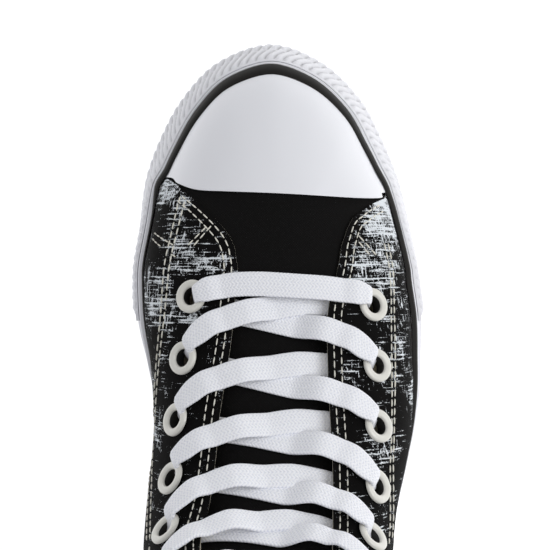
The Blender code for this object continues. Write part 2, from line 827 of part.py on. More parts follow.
def make_outsole(finish):
    """Outsole with toe spring, low arch, heel and the main grooves of its tread."""
    grooves = []
    for start, end in (TREAD_HEEL, TREAD_FOREFOOT):
        count = int((end - start) * LENGTH / TREAD_PITCH)
        middle = 0.5 * (y_at(start) + y_at(end))
        for index in range(count):
            grooves.append(middle + (index - 0.5 * (count - 1)) * TREAD_PITCH)
    grooves = [y for y in grooves if y_at(STATIONS[0]) + TREAD_GROOVE < y < y_at(TOE_POLE)]

    def underside(y):
        share = share_at(y)
        waist = smoothstep((share - ARCH_START) / ARCH_EASE)
        waist *= 1.0 - smoothstep((share - ARCH_END) / ARCH_EASE)
        return spring(y) + ARCH_LIFT * waist

    def depth(y):
        for groove in grooves:
            if abs(y - groove) < 0.5 * TREAD_GROOVE + CLEARANCE:
                return TREAD_DEPTH
        return 0.0

    edges = []
    for groove in grooves:
        for side in (-0.5, 0.5):
            edges.append(groove + side * TREAD_GROOVE)
            edges.append(groove + side * (TREAD_GROOVE + 4.0 * CLEARANCE))
    stations = [y_at(share) for share in STATIONS]
    stations = [y for y in stations if all(abs(y - edge) > STATION_GAP for edge in edges)]
    stations = sorted(set(stations + edges + [y_at(STATIONS[0]), y_at(TOE_POLE)]))
    lateral = [Column((ridge_x(y), y), (1.0, 0.0)) for y in stations]
    medial = [Column((ridge_x(y), y), (-1.0, 0.0)) for y in reversed(stations)]
    toe = [COLUMNS[index] for index in TOE_COLUMNS]
    heel = COLUMNS[-(HEEL_STEPS - 1):]
    points, faces = [], []
    rings = []
    for column in lateral + toe + medial + heel:
        outer = column.reach(OUTSOLE_EDGE)
        x, y, _ = column.place(outer, 0.0)
        pole_y = float(column.pole[1])
        low, high = underside(y) + depth(y), sole_top(y)
        pole_low, pole_high = underside(pole_y) + depth(pole_y), sole_top(pole_y)
        middle_y = column.place(0.5 * outer, 0.0)[1]
        ring = [
            column.place(0.0, pole_low),
            column.place(0.5 * outer, underside(middle_y) + depth(middle_y)),
            column.place(outer, low),
            column.place(outer, high),
            column.place(0.5 * outer, sole_top(middle_y)),
            column.place(0.0, pole_high),
        ]
        rings.append(ring)
    size = len(rings[0])
    for ring in rings:
        points.extend(ring)
    for i in range(len(rings)):
        here, there = i * size, ((i + 1) % len(rings)) * size
        for j in range(size - 1):
            faces.append([here + j, there + j, there + j + 1, here + j + 1])
    return add_object("outsole", points, faces, finish)


def make_insole(finish):
    """Insole on the outsole, inside the upper."""
    points, faces = [], []
    rings = []
    for column in COLUMNS:
        outer = column.reach(INSOLE_EDGE)
        ring = []
        for share, height in ((0.0, 0.0), (1.0, 0.0), (1.0, 1.0), (0.0, 1.0)):
            inset = CLEARANCE * height * share
            y = column.place(outer * share, 0.0)[1]
            level = sole_top(y) + CLEARANCE + INSOLE_THICKNESS * height
            ring.append(column.place(outer * share - inset, level))
        rings.append(ring)
    size = len(rings[0])
    for ring in rings:
        points.extend(ring)
    for i in range(len(rings)):
        here, there = i * size, ((i + 1) % len(rings)) * size
        for j in range(size - 1):
            faces.append([here + j, there + j, there + j + 1, here + j + 1])
    return add_object("insole", points, faces, finish)


def foxing_face(column, level):
    """Distance of the foxing's outer face at a level, without its line."""
    top = foxing_top(column.edge_y())
    lean = column.at_height(top) - column.reach(FORM_EDGE)
    return column.reach(FOXING_EDGE) + lean * level ** 2


def make_foxing(finish):
    """Rubber band round the sole's side, with a raised line below its top edge."""
    rings = []
    for column in COLUMNS:
        inside = column.reach(FOXING_INSIDE)
        outside = column.reach(FOXING_EDGE)
        low = spring(column.place(outside, 0.0)[1]) + FOXING_BOTTOM_GAP
        top = foxing_top(column.edge_y())
        seat = sole_top(column.edge_y()) + CLEARANCE
        lean = column.at_height(top) - column.reach(FORM_EDGE)
        share = share_at(column.edge_y())
        step = FOXING_LINE_STEP * (outside - inside) * (1.0 - toe_ease(share))
        ring = [column.place(inside, low)]
        for level in FOXING_LEVELS:
            face = foxing_face(column, level) - (step if level > FOXING_LINE else 0.0)
            ring.append(column.place(face, low + level * (top - low)))
        ring += [column.place(inside + lean, top), column.place(inside, seat)]
        rings.append(ring)
    return ring_solid("foxing", rings, True, finish)


def make_stripe(finish):
    """Thin band above the foxing, round the toe cap and both quarters."""
    grid = []
    for column in COLUMNS:
        curve = column.profile()
        steps = np.linalg.norm(np.diff(curve, axis=0), axis=1)
        along = np.concatenate(([0.0], np.cumsum(steps)))
        y = column.edge_y()
        start = np.interp(foxing_top(y) + CLEARANCE, curve[:40, 1], along[:40])
        end = start + stripe_height(y)
        grid.append([
            column.place(np.interp(s, along, curve[:, 0]), np.interp(s, along, curve[:, 1]))
            for s in (start, end)
        ])
    inner = wrap()
    return thicken("foxing_stripe", grid, True, inner,
                   lambda p: inner + stripe_wall(p[0], p[1]), finish, flat_rows=(0,))


def make_bumper(finish):
    """Ribbed rubber strip round the toe, outside the foxing."""
    start = Column((ridge_x(y_at(BUMPER_START)), y_at(BUMPER_START)), (1.0, 0.0))
    first = np.array(start.place(start.reach(SOLE_EDGE), 0.0)[:2])
    end = Column(start.pole, (-1.0, 0.0))
    last = np.array(end.place(end.reach(SOLE_EDGE), 0.0)[:2])
    front = SOLE_EDGE[SOLE_EDGE[:, 1] > start.pole[1]]
    route = np.vstack((first, front, last))
    along = np.concatenate(([0.0], np.cumsum(np.linalg.norm(np.diff(route, axis=0), axis=1))))
    count = 2 * int(along[-1] / RIB_PITCH) + 1
    pole = np.array((ridge_x(y_at(TOE_POLE)), y_at(TOE_POLE)))

    def column_at(index):
        distance = along[-1] * min(max(index / (count - 1), 0.0), 1.0)
        place = np.array([np.interp(distance, along, route[:, axis]) for axis in range(2)])
        if place[1] <= pole[1]:
            return Column((ridge_x(place[1]), place[1]), (math.copysign(1.0, place[0]), 0.0))
        away = place - pole
        away /= np.linalg.norm(away)
        return Column(tuple(pole), tuple(away), toe=float(away[1]))

    rings = []
    for index in range(count):
        column = column_at(index)
        edge = column.reach(SOLE_EDGE)
        wall = edge - column.reach(FOXING_EDGE) - CLEARANCE
        low = spring(column.place(edge, 0.0)[1]) + FOXING_BOTTOM_GAP
        rise = foxing_top(column.edge_y()) - low
        rib = RIB_DEPTH if index % 2 and 0 < index < count - 1 else 0.0
        ring = []
        for level in reversed(BUMPER_INNER_LEVELS):
            ring.append(column.place(foxing_face(column, level) + CLEARANCE, low + level * rise))
        for level, share in BUMPER_OUTER_LEVELS:
            thick = max(wall * share, BUMPER_THIN)
            groove = min(rib, thick - BUMPER_THIN) if level > 0.0 else 0.0
            face = foxing_face(column, level) + CLEARANCE + thick - groove
            ring.append(column.place(face, low + level * rise))
        rings.append(ring)
    return ring_solid("toe_bumper", rings, False, finish)


def make_cap(finish):
    """Rubber toe cap over the front of the vamp."""
    columns = [COLUMNS[len(STATIONS) - 1]]
    columns += [COLUMNS[index] for index in TOE_COLUMNS]
    columns += [COLUMNS[len(STATIONS) + TOE_STEPS - 1]]
    grid = form_grid(columns, FORM_ROWS)
    cap = thicken("toe_cap", grid, False, CLEARANCE, CLEARANCE + CAP_WALL, finish,
                  flat_rows=(0,))
    outline = plan(CAP_EDGE) + [(0.62 * BALL_WIDTH, y_at(1.05)), (-0.45 * BALL_WIDTH, y_at(1.05))]
    boolean(cap, prism("cap_outline", outline, 0.0, SHAFT_HEIGHT), "INTERSECT")
    return cap


def make_upper(finish):
    """Hollow canvas upper, cut open at the collar and the throat, with its eyelet holes."""
    grid = form_grid(COLUMNS, FORM_ROWS)
    upper = thicken("upper", grid, True, -UPPER_WALL, OVERLAY_STEP, finish, flat_rows=(0,))

    front = len(STATIONS) - VAMP_STATIONS
    columns = COLUMNS[front:2 * len(STATIONS) + TOE_STEPS - 1 - front]
    step_grid = form_grid(columns, FORM_ROWS, foot_drop=0.004)
    skin = thicken("vamp_skin", step_grid, False, 0.0, 0.006, None, flat_rows=(0, 1))
    margin = [(x, share - CAP_MARGIN) for x, share in CAP_EDGE]
    medial, lateral = list(MEDIAL_EDGE), list(LATERAL_EDGE)
    vamp = margin[:3] + medial[:8]
    vamp += [(-0.0655, VAMP_REAR + 0.0005), (-0.050, VAMP_REAR - 0.010)]
    vamp += [(0.210, VAMP_REAR - 0.010), (0.2435, VAMP_REAR + 0.0005)]
    vamp += list(reversed(lateral[:9])) + margin[-2:] + [(0.62, 1.05), (-0.45, 1.05)]
    boolean(skin, prism("vamp_outline", plan(vamp), 0.004, SHAFT_HEIGHT), "INTERSECT")
    boolean(upper, skin)

    throat = [(x, share) for x, share in medial if share < VAMP_REAR]
    front = [(-0.066, VAMP_REAR), (0.090, VAMP_REAR + 0.006), (0.244, VAMP_REAR)]
    throat = list(reversed(throat)) + front + [(x, s) for x, s in lateral if s < VAMP_REAR]
    boolean(upper, prism("throat", plan(throat), 0.5 * INSTEP_HEIGHT, 2.0 * SHAFT_HEIGHT))

    collar = [(y_at(share), SHAFT_HEIGHT - drop) for share, drop in COLLAR_LINE]
    ends = COLLAR_LINE[-1][0], COLLAR_LINE[0][0]
    collar += [(y_at(share), 2.0 * SHAFT_HEIGHT) for share in ends]
    boolean(upper, prism("collar", collar, -BALL_WIDTH, BALL_WIDTH, axis=0))
    boolean(upper, eyelet_holes())
    return upper


def turned(points, faces, place, axis, profile):
    """Append a closed profile turned round an axis."""
    turn = axis.to_track_quat("Z", "Y").to_matrix()
    base = len(points)
    size = len(profile)
    for side in range(EYELET_SIDES):
        angle = 2.0 * math.pi * side / EYELET_SIDES
        for radius, height in profile:
            local = Vector((radius * math.cos(angle), radius * math.sin(angle), height))
            points.append(place + turn @ local)
    for side in range(EYELET_SIDES):
        here, there = base + side * size, base + ((side + 1) % EYELET_SIDES) * size
        for j in range(size):
            k = (j + 1) % size
            faces.append([here + j, there + j, there + k])
            faces.append([here + j, there + k, here + k])


def eyelet_spots():
    """Name, place and normal of each eyelet."""
    for side, word in ((-1, "left"), (1, "right")):
        for row in range(1, EYELET_ROWS + 1):
            spot = eyelet_place(side, row)
            yield f"eyelet_{word}_{row}", *surface_point(spot.x, spot.y)


def eyelet_holes():
    """One cutter with a plug for each eyelet's hole."""
    points, faces = [], []
    radius = EYELET_HOLE_RADIUS + EYELET_BARREL + CLEARANCE
    for _, place, axis in eyelet_spots():
        turn = axis.to_track_quat("Z", "Y").to_matrix()
        base = len(points)
        for height in (-4.0 * UPPER_WALL, 4.0 * UPPER_WALL):
            for side in range(EYELET_SIDES):
                angle = 2.0 * math.pi * side / EYELET_SIDES
                local = Vector((radius * math.cos(angle), radius * math.sin(angle), height))
                points.append(place + turn @ local)
        low = list(range(base, base + EYELET_SIDES))
        high = list(range(base + EYELET_SIDES, base + 2 * EYELET_SIDES))
        faces.extend([list(reversed(low)), high])
        for i in range(EYELET_SIDES):
            j = (i + 1) % EYELET_SIDES
            faces.append([low[i], low[j], high[j], high[i]])
    return cutter("eyelet_holes", points, faces)


def rise_round(place, axis, radius):
    """How far the form rises over its tangent plane within a radius of a place."""
    turn = axis.to_track_quat("Z", "Y").to_matrix()
    rise = 0.0
    for step in range(12):
        angle = 2.0 * math.pi * step / 12
        rim = place + turn @ Vector((radius * math.cos(angle), radius * math.sin(angle), 0.0))
        ground = Vector((rim.x, rim.y, form_height(rim.x, rim.y)))
        rise = max(rise, (ground - place).dot(axis))
    return rise


def seat_rise(side, row):
    """How far an eyelet's flange is lifted by the bend of the canvas under it."""
    spot = eyelet_place(side, row)
    place, axis = surface_point(spot.x, spot.y)
    return rise_round(place, axis, EYELET_RADIUS)


def make_eyelets(finish):
    """Turned eyelets: a barrel through the quarter and a flange on it."""
    barrel = EYELET_HOLE_RADIUS + EYELET_BARREL
    foot = -UPPER_WALL - EYELET_BARREL
    for name, place, axis in eyelet_spots():
        seat = OVERLAY_STEP + CLEARANCE + rise_round(place, axis, EYELET_RADIUS)
        profile = (
            (EYELET_HOLE_RADIUS, foot), (barrel, foot), (barrel, seat),
            (EYELET_RADIUS, seat), (EYELET_HOLE_RADIUS, seat + EYELET_FLANGE),
        )
        points, faces = [], []
        turned(points, faces, place, axis, profile)
        add_object(name, points, faces, finish)


def tongue_depth(y):
    """Depth of the tongue's face under the form: sewn under the vamp, then below the laces."""
    laced = UPPER_WALL + LACE_THICKNESS + 2.0 * LACE_CLEARANCE
    sewn = UPPER_WALL + CLEARANCE
    ease = smoothstep((share_at(y) - VAMP_REAR) / TONGUE_SEWN_REACH)
    return laced + (sewn - laced) * ease


def make_tongue(finish):
    """Tongue under the throat, from under the vamp to above the collar."""
    grid = []
    for share in TONGUE_STATIONS:
        y = y_at(share)
        row = []
        for across in TONGUE_SHARES:
            x = ridge_x(y) + across * TONGUE_HALF_WIDTH
            row.append((x, y, form_height(x, y)))
        grid.append(row)
    tongue = thicken(
        "tongue", grid, False,
        lambda p: -tongue_depth(p[1]) - TONGUE_THICKNESS, lambda p: -tongue_depth(p[1]), finish)
    top = SHAFT_HEIGHT + TONGUE_RISE
    middle = ridge_x(y_at(0.36))
    half = 2.0 * TONGUE_HALF_WIDTH
    outline = [(middle - half, 0.0), (middle + half, 0.0)]
    for side, turn in ((1, 0), (-1, 90)):
        for step in range(5):
            angle = math.radians(turn + 22.5 * step)
            centre = middle + side * (TONGUE_HALF_WIDTH - TONGUE_CORNER - TONGUE_CORNER_SET)
            outline.append((centre + TONGUE_CORNER * math.cos(angle),
                            top - TONGUE_CORNER + TONGUE_CORNER * math.sin(angle)))
    shoulder = top - TONGUE_SPREAD * TONGUE_CORNER
    spread = [(middle + half, shoulder), (middle - half, shoulder)]
    outline = outline[:2] + [spread[0]] + outline[2:] + [spread[1]]
    boolean(tongue, prism("tongue_outline", outline, y_at(0.1), y_at(0.9), axis=1), "INTERSECT")
    return tongue


def lace_strip(name, route, finish):
    """Flat lace swept along points, each with the normal of its face."""
    rings = []
    places = [place for place, _ in route]
    for index, (place, normal) in enumerate(route):
        before = places[max(index - 1, 0)]
        after = places[min(index + 1, len(places) - 1)]
        tangent = (after - before).normalized()
        side = tangent.cross(normal).normalized()
        face = side.cross(tangent).normalized()
        half_width, half_depth = 0.5 * LACE_WIDTH * side, 0.5 * LACE_THICKNESS * face
        rings.append([
            place - half_width - half_depth, place + half_width - half_depth,
            place + half_width + half_depth, place - half_width + half_depth,
        ])
    return ring_solid(name, rings, False, finish)


def climb(share, reach):
    """Ease from 0 to 1 between two shares of the way across."""
    return smoothstep((share - reach[0]) / (reach[1] - reach[0]))


def lace_height(share, over, rise):
    """Height of a strand's middle over the form, from its start to its end."""
    under = -(UPPER_WALL + LACE_CLEARANCE + 0.5 * LACE_THICKNESS)
    above = OVERLAY_STEP + LACE_CLEARANCE + 0.5 * LACE_THICKNESS
    lift = LACE_CROSSING_LIFT * LACE_THICKNESS if over else 0.0
    height = under + lift * climb(share, LACE_CROSSING_CLIMB)
    last = climb(share, UPPER_STRAND_CLIMB if over else LOWER_STRAND_CLIMB)
    height += (above - under - lift) * last
    seat = smoothstep((share - LACE_SEAT_START) / LACE_SEAT_REACH)
    return height + (EYELET_FLANGE + LACE_CLEARANCE + rise) * seat


def lace_route(row, side, over):
    """Points of a lace from under a quarter at a row to the other side's next eyelet."""
    route = []
    rise = seat_rise(-side, row + 1)
    for step in range(LACE_STEPS + 1):
        share = LACE_START + (1.0 - LACE_START) * step / LACE_STEPS
        across = share if side < 0 else 1.0 - share
        moved = UPPER_STRAND(share) if over else LOWER_STRAND(share)
        x, y = across_row(row + moved, across)
        route.append(surface_point(x, y, lace_height(share, over, rise)))
    return route


def make_laces(finish):
    """The straight bar at the first row, then a crossing for each pair of rows."""
    route = []
    rise = max(seat_rise(-1, 1), seat_rise(1, 1))
    for step in range(LACE_STEPS + 1):
        share = step / LACE_STEPS
        x, y = across_row(1 + BAR_STRAND(share), share)
        height = OVERLAY_STEP + LACE_CLEARANCE + 0.5 * LACE_THICKNESS
        flange = EYELET_FLANGE + LACE_CLEARANCE + rise
        height += flange * smoothstep((abs(share - 0.5) - BAR_SEAT_START) / LACE_SEAT_REACH)
        route.append(surface_point(x, y, height))
    lace_strip("lace_bar", route, finish)
    for row in range(1, EYELET_ROWS):
        crossing = lace_strip(f"lace_crossing_{row}", lace_route(row, 1, True), finish)
        other = lace_strip("lace_under", lace_route(row, -1, False), finish)
        boolean(crossing, other, "UNION")


def main():
    """Build every piece of the sneaker."""
    for old in list(bpy.data.objects):
        bpy.data.objects.remove(old)
    white_rubber = material("white_rubber", (0.76, 0.76, 0.79), 0.45)
    black_rubber = material("black_rubber", (0.02, 0.018, 0.016), 0.5)
    canvas = material("black_canvas", (0.012, 0.012, 0.013), 0.9)
    cotton = material("white_cotton", (0.86, 0.86, 0.88), 0.85)
    lining = material("natural_lining", (0.62, 0.56, 0.45), 0.9)
    enamel = material("enamelled_metal", (0.78, 0.76, 0.70), 0.3, 0.2)
    make_outsole(white_rubber)
    make_insole(lining)
    make_foxing(white_rubber)
    make_bumper(white_rubber)
    make_stripe(black_rubber)
    make_cap(white_rubber)
    make_upper(canvas)
    make_tongue(canvas)
    make_eyelets(enamel)
    make_laces(cotton)


main()
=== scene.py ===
"""The looks of a right-foot high-top canvas sneaker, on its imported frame.

The toe points along +Y, the lateral side along +X and +Z is up, in metres. The form's
tables and functions are those of the model, sampled more finely here.
"""
import math

import bmesh
import bpy
import numpy as np
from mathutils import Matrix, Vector
from mathutils.bvhtree import BVHTree


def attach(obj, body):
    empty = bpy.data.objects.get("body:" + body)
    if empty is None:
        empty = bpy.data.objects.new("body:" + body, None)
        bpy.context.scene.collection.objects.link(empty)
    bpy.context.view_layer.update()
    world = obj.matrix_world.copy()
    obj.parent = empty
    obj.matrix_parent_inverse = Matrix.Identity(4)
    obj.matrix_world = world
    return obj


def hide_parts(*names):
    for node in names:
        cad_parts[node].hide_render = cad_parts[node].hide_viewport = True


# The photo's frame and the camera that was fitted to it
PHOTO_PIXELS = 550
FOCAL_PIXELS = 1850
CAMERA_PLACE = (0.006, 0.1584, 0.655)

# Driving dimensions of the shoe
LENGTH = 0.272
HEEL_BACK = 0.034
BALL_WIDTH = 0.100
HEEL_WIDTH = 0.068
INSTEP_HEIGHT = 0.080
SHAFT_HEIGHT = 0.152
TOE_SPRING = 0.009
# Walls and clearances
CLEARANCE = 0.0003
UPPER_WALL = 0.0016
OVERLAY_STEP = 0.0012
CAP_WALL = 0.0011
FOXING_WALL = 0.0028
FOXING_TOE_WALL = 0.0020
BUMPER_WALL = 0.0042
BUMPER_END_WALL = 0.0006
STRIPE_TOE_WALL = 0.0016
STRIPE_LATERAL_WALL = 0.0018
STRIPE_MEDIAL_WALL = 0.0007
TONGUE_THICKNESS = 0.0020
LACE_WIDTH = 0.0080
LACE_THICKNESS = 0.0014
# Heights of the sole
FOREFOOT_THICKNESS = 0.0120
HEEL_THICKNESS = 0.0190
FOXING_HEIGHT = 0.0260
FOXING_BOTTOM_GAP = 0.0008
STRIPE_TOE_HEIGHT = 0.0050
STRIPE_SIDE_HEIGHT = 0.0030
STRIPE_BLEND = 0.0300
BUMPER_THIN = 0.0005
# Levels of the bumper's outer face, with its thickness there as a share of the bumper's
BUMPER_OUTER_LEVELS = ((0.0, 1.0), (0.22, 0.95), (0.62, 0.42), (0.96, 0.12))
# Tongue, collar and lacing
TONGUE_RISE = 0.012
TONGUE_HALF_WIDTH = 0.024
TONGUE_CORNER = 0.012
EYELET_ROWS = 8
EYELET_PITCH = 0.0200
EYELET_RADIUS = 0.0055
EYELET_HOLE_RADIUS = 0.0029
EYELET_BARREL = 0.0006
EYELET_FLANGE = 0.0009
# Places along the shoe, as shares of its length from the heel's end
TOE_POLE = 0.713
TOE_SPRING_START = 0.735
BUMPER_START = 0.650
BUMPER_LEAD = 0.10
HEEL_STEP_START = 0.22
HEEL_STEP_REACH = 0.38
STRIPE_RISE_START = 0.70
STRIPE_RISE_REACH = 0.20
STRIPE_WALL_START = 0.780
STRIPE_WALL_REACH = 0.040
WIDTH_RISE_START = 0.20
WIDTH_RISE_REACH = 0.40
SPRING_POWER = 1.8
# Outline of the sole: share of the length, then the medial and lateral edge as shares
# of the width there, which runs from the heel's width to the ball's
OUTLINE = (
    (0.199, -0.479, 0.532),
    (0.272, -0.424, 0.557),
    (0.346, -0.365, 0.561),
    (0.401, -0.333, 0.559),
    (0.456, -0.318, 0.558),
    (0.515, -0.322, 0.559),
    (0.566, -0.347, 0.562),
    (0.603, -0.381, 0.567),
    (0.650, -0.418, 0.575),
    (0.713, -0.426, 0.558),
    (0.770, -0.408, 0.527),
    (0.829, -0.388, 0.488),
    (0.880, -0.340, 0.432),
    (0.931, -0.263, 0.357),
    (0.977, -0.140, 0.224),
)
TOE_APEX = 0.046
# Form of the upper: share of the length, medial and lateral belly and ridge line as
# shares of the width there, belly height as a share of the instep's, ridge height from
# the ground, 0, through the instep, 1, to the shaft, 2, and fullness of the section
FORM = (
    (0.125, -0.488, 0.488, 0.000, 0.56, 3.06, 6.0),
    (0.199, -0.494, 0.518, 0.012, 0.59, 3.01, 5.0),
    (0.272, -0.481, 0.537, 0.027, 0.63, 2.85, 3.8),
    (0.316, -0.462, 0.537, 0.035, 0.68, 2.53, 3.0),
    (0.346, -0.445, 0.528, 0.040, 0.71, 2.19, 2.6),
    (0.368, -0.433, 0.521, 0.044, 0.72, 1.90, 2.5),
    (0.390, -0.420, 0.514, 0.047, 0.72, 1.61, 2.4),
    (0.415, -0.403, 0.506, 0.051, 0.70, 1.385, 2.3),
    (0.441, -0.385, 0.504, 0.056, 0.66, 1.250, 2.25),
    (0.471, -0.364, 0.510, 0.061, 0.61, 1.145, 2.25),
    (0.507, -0.345, 0.516, 0.063, 0.56, 1.060, 2.25),
    (0.540, -0.336, 0.513, 0.065, 0.51, 0.995, 2.25),
    (0.596, -0.342, 0.506, 0.070, 0.455, 0.920, 2.25),
    (0.654, -0.362, 0.502, 0.076, 0.42, 0.858, 2.2),
    (0.713, -0.368, 0.484, 0.076, 0.39, 0.805, 2.2),
    (0.805, -0.368, 0.484, 0.076, 0.310, 0.755, 2.2),
    (0.879, -0.368, 0.484, 0.076, 0.250, 0.720, 2.25),
    (0.952, -0.368, 0.484, 0.076, 0.210, 0.680, 2.3),
    (1.000, -0.368, 0.484, 0.076, 0.190, 0.650, 2.3),
)
TOE_LEAN = 0.0010
# How far the form is drawn in beside the toe cap, from its rear corners forwards
CAP_PINCH_MEDIAL = 0.0015
CAP_PINCH_LATERAL = 0.0008
CAP_PINCH_START = 0.812
CAP_PINCH_REACH = 0.030
CAP_PINCH_END = 0.850
CAP_PINCH_FADE = 0.120
ANKLE_PINCH = 0.0075
ANKLE_SIDE = 0.60
ANKLE_SIDE_START = 0.20
ANKLE_SIDE_REACH = 0.16
ANKLE_HEIGHT = 0.62
ANKLE_REACH = 0.030
# Stations of the cross sections along the middle of the shoe
STATIONS = (
    0.125, 0.176, 0.228, 0.272, 0.301, 0.323, 0.338, 0.353, 0.368, 0.382,
    0.397, 0.413, 0.434, 0.463, 0.500, 0.544, 0.588, 0.632, 0.676, 0.713,
)


def smoothstep(value):
    """Ease from 0 to 1."""
    value = min(max(value, 0.0), 1.0)
    return value * value * (3.0 - 2.0 * value)


def table_curve(rows, column):
    """Return a smooth function through one column of a table, against its first column."""
    knots = np.array([row[0] for row in rows])
    values = np.array([row[column] for row in rows])
    secants = np.diff(values) / np.diff(knots)
    slopes = np.concatenate(([secants[0]], 0.5 * (secants[1:] + secants[:-1]), [secants[-1]]))
    for index in range(1, len(knots) - 1):
        if secants[index - 1] * secants[index] <= 0.0:
            slopes[index] = 0.0

    def curve(place):
        place = min(max(place, knots[0]), knots[-1])
        index = min(int(np.searchsorted(knots, place, side="right")) - 1, len(knots) - 2)
        span = knots[index + 1] - knots[index]
        t = (place - knots[index]) / span
        start = (1 + 2 * t) * (1 - t) ** 2 * values[index]
        start += t * (1 - t) ** 2 * span * slopes[index]
        end = t * t * (3 - 2 * t) * values[index + 1]
        end += t * t * (t - 1) * span * slopes[index + 1]
        return float(start + end)

    return curve


def share_at(y):
    """Share of the length from the heel's end at a place along Y."""
    return (y + HEEL_BACK) / LENGTH


def y_at(share):
    """Place along Y of a share of the length."""
    return share * LENGTH - HEEL_BACK


def width_at(share):
    """The width that the tables' shares refer to, from the heel's to the ball's."""
    return HEEL_WIDTH + (BALL_WIDTH - HEEL_WIDTH) * smoothstep(
        (share - WIDTH_RISE_START) / WIDTH_RISE_REACH)

MEDIAL_BELLY = table_curve(FORM, 1)
LATERAL_BELLY = table_curve(FORM, 2)
RIDGE_LINE = table_curve(FORM, 3)
BELLY_HEIGHT = table_curve(FORM, 4)
RIDGE_LEVEL = table_curve(FORM, 5)
FULLNESS = table_curve(FORM, 6)


def spring(y):
    """How far the sole's underside is lifted at the toe."""
    start = y_at(TOE_SPRING_START)
    reach = y_at(1.0) - start
    return TOE_SPRING * max((y - start) / reach, 0.0) ** SPRING_POWER


def sole_top(y):
    """Height of the top of the outsole, thicker under the heel."""
    share = share_at(y)
    heel = 1.0 - smoothstep((share - HEEL_STEP_START) / HEEL_STEP_REACH)
    return spring(y) + FOREFOOT_THICKNESS + (HEEL_THICKNESS - FOREFOOT_THICKNESS) * heel


def foxing_top(y):
    """Height of the top edge of the foxing."""
    return spring(y) + FOXING_HEIGHT


def stripe_height(y):
    """Height of the black stripe, tallest round the toe."""
    share = smoothstep((share_at(y) - STRIPE_RISE_START) / STRIPE_RISE_REACH)
    return STRIPE_SIDE_HEIGHT + (STRIPE_TOE_HEIGHT - STRIPE_SIDE_HEIGHT) * share


def stripe_wall(x, y):
    """Thickness of the black stripe, most round the toe and least on the medial side."""
    across = smoothstep(0.5 + (x - ridge_x(y)) / STRIPE_BLEND)
    side = STRIPE_MEDIAL_WALL + (STRIPE_LATERAL_WALL - STRIPE_MEDIAL_WALL) * across
    toe = smoothstep((share_at(y) - STRIPE_WALL_START) / STRIPE_WALL_REACH)
    return side + (STRIPE_TOE_WALL - side) * toe


def bumper_wall(share):
    """Thickness of the toe bumper, thickest at the toe's tip."""
    return BUMPER_END_WALL + (BUMPER_WALL - BUMPER_END_WALL) * toe_ease(share)


def toe_ease(share):
    """Ease from the bumper's ends, 0, to the toe's tip, 1."""
    return smoothstep((share - BUMPER_START) / (1.0 - BUMPER_START))


def foxing_wall(share):
    """Thickness of the foxing at its foot, thinner behind the bumper."""
    return FOXING_WALL + (FOXING_TOE_WALL - FOXING_WALL) * toe_ease(share)


def bumper_inset(share):
    """How far the bumper sets back the foxing from the sole's outline."""
    ease = smoothstep((share - BUMPER_START) / BUMPER_LEAD + 1.0)
    return ease * (bumper_wall(share) + CLEARANCE)


def ridge_x(y):
    """The ridge line of the upper, seen from above."""
    share = share_at(y)
    return RIDGE_LINE(share) * width_at(min(share, TOE_POLE))


def roof_height(y):
    """Height of the ridge of the closed form that the upper is cut from."""
    level = RIDGE_LEVEL(share_at(y))
    above = max(level - 1.0, 0.0)
    return min(level, 1.0) * INSTEP_HEIGHT + above * (SHAFT_HEIGHT - INSTEP_HEIGHT)


def belly_height(y):
    """Height at which the upper is widest."""
    return BELLY_HEIGHT(share_at(y)) * INSTEP_HEIGHT + spring(y)


def closed_curve(points, steps=24):
    """Dense closed Catmull-Rom curve through points in plan."""
    points = np.array(points)
    before = np.roll(points, 1, axis=0)
    after = np.roll(points, -1, axis=0)
    beyond = np.roll(points, -2, axis=0)
    dense = []
    for a, b, c, d in zip(before, points, after, beyond):
        for step in range(steps):
            t = step / steps
            dense.append(0.5 * (2 * b + (c - a) * t + (2 * a - 5 * b + 4 * c - d) * t * t
                                + (3 * b - a - 3 * c + d) * t ** 3))
    return np.array(dense)


def sole_outline():
    """The sole's outline in plan, as a closed curve counter-clockwise from the lateral heel."""
    radius = 0.5 * HEEL_WIDTH
    lateral = [(row[2] * width_at(row[0]), y_at(row[0])) for row in OUTLINE]
    medial = [(row[1] * width_at(row[0]), y_at(row[0])) for row in reversed(OUTLINE)]
    heel = []
    for degrees in (180, 210, 240, 270, 300, 330, 360):
        angle = math.radians(degrees)
        heel.append((radius * math.cos(angle), HEEL_BACK * math.sin(angle)))
    apex = [(TOE_APEX * BALL_WIDTH, y_at(1.0))]
    return closed_curve(lateral + apex + medial + heel)


def inset_curve(curve, inset):
    """Move a closed curve inwards by a distance that may depend on the place along Y."""
    tangent = np.roll(curve, -1, axis=0) - np.roll(curve, 1, axis=0)
    tangent /= np.linalg.norm(tangent, axis=1)[:, None]
    inward = np.stack((-tangent[:, 1], tangent[:, 0]), axis=1)
    distance = np.array([inset(share_at(point[1])) for point in curve])
    return curve + inward * distance[:, None]


def wrap():
    """Distance from the upper's form to what is wrapped round it."""
    return max(OVERLAY_STEP, CLEARANCE + CAP_WALL) + CLEARANCE


SOLE_EDGE = sole_outline()
FOXING_EDGE = inset_curve(SOLE_EDGE, bumper_inset)
FOXING_INSIDE = inset_curve(
    SOLE_EDGE, lambda share: bumper_inset(share) + foxing_wall(share))
FORM_EDGE = inset_curve(
    SOLE_EDGE, lambda share: bumper_inset(share) + foxing_wall(share) + wrap())


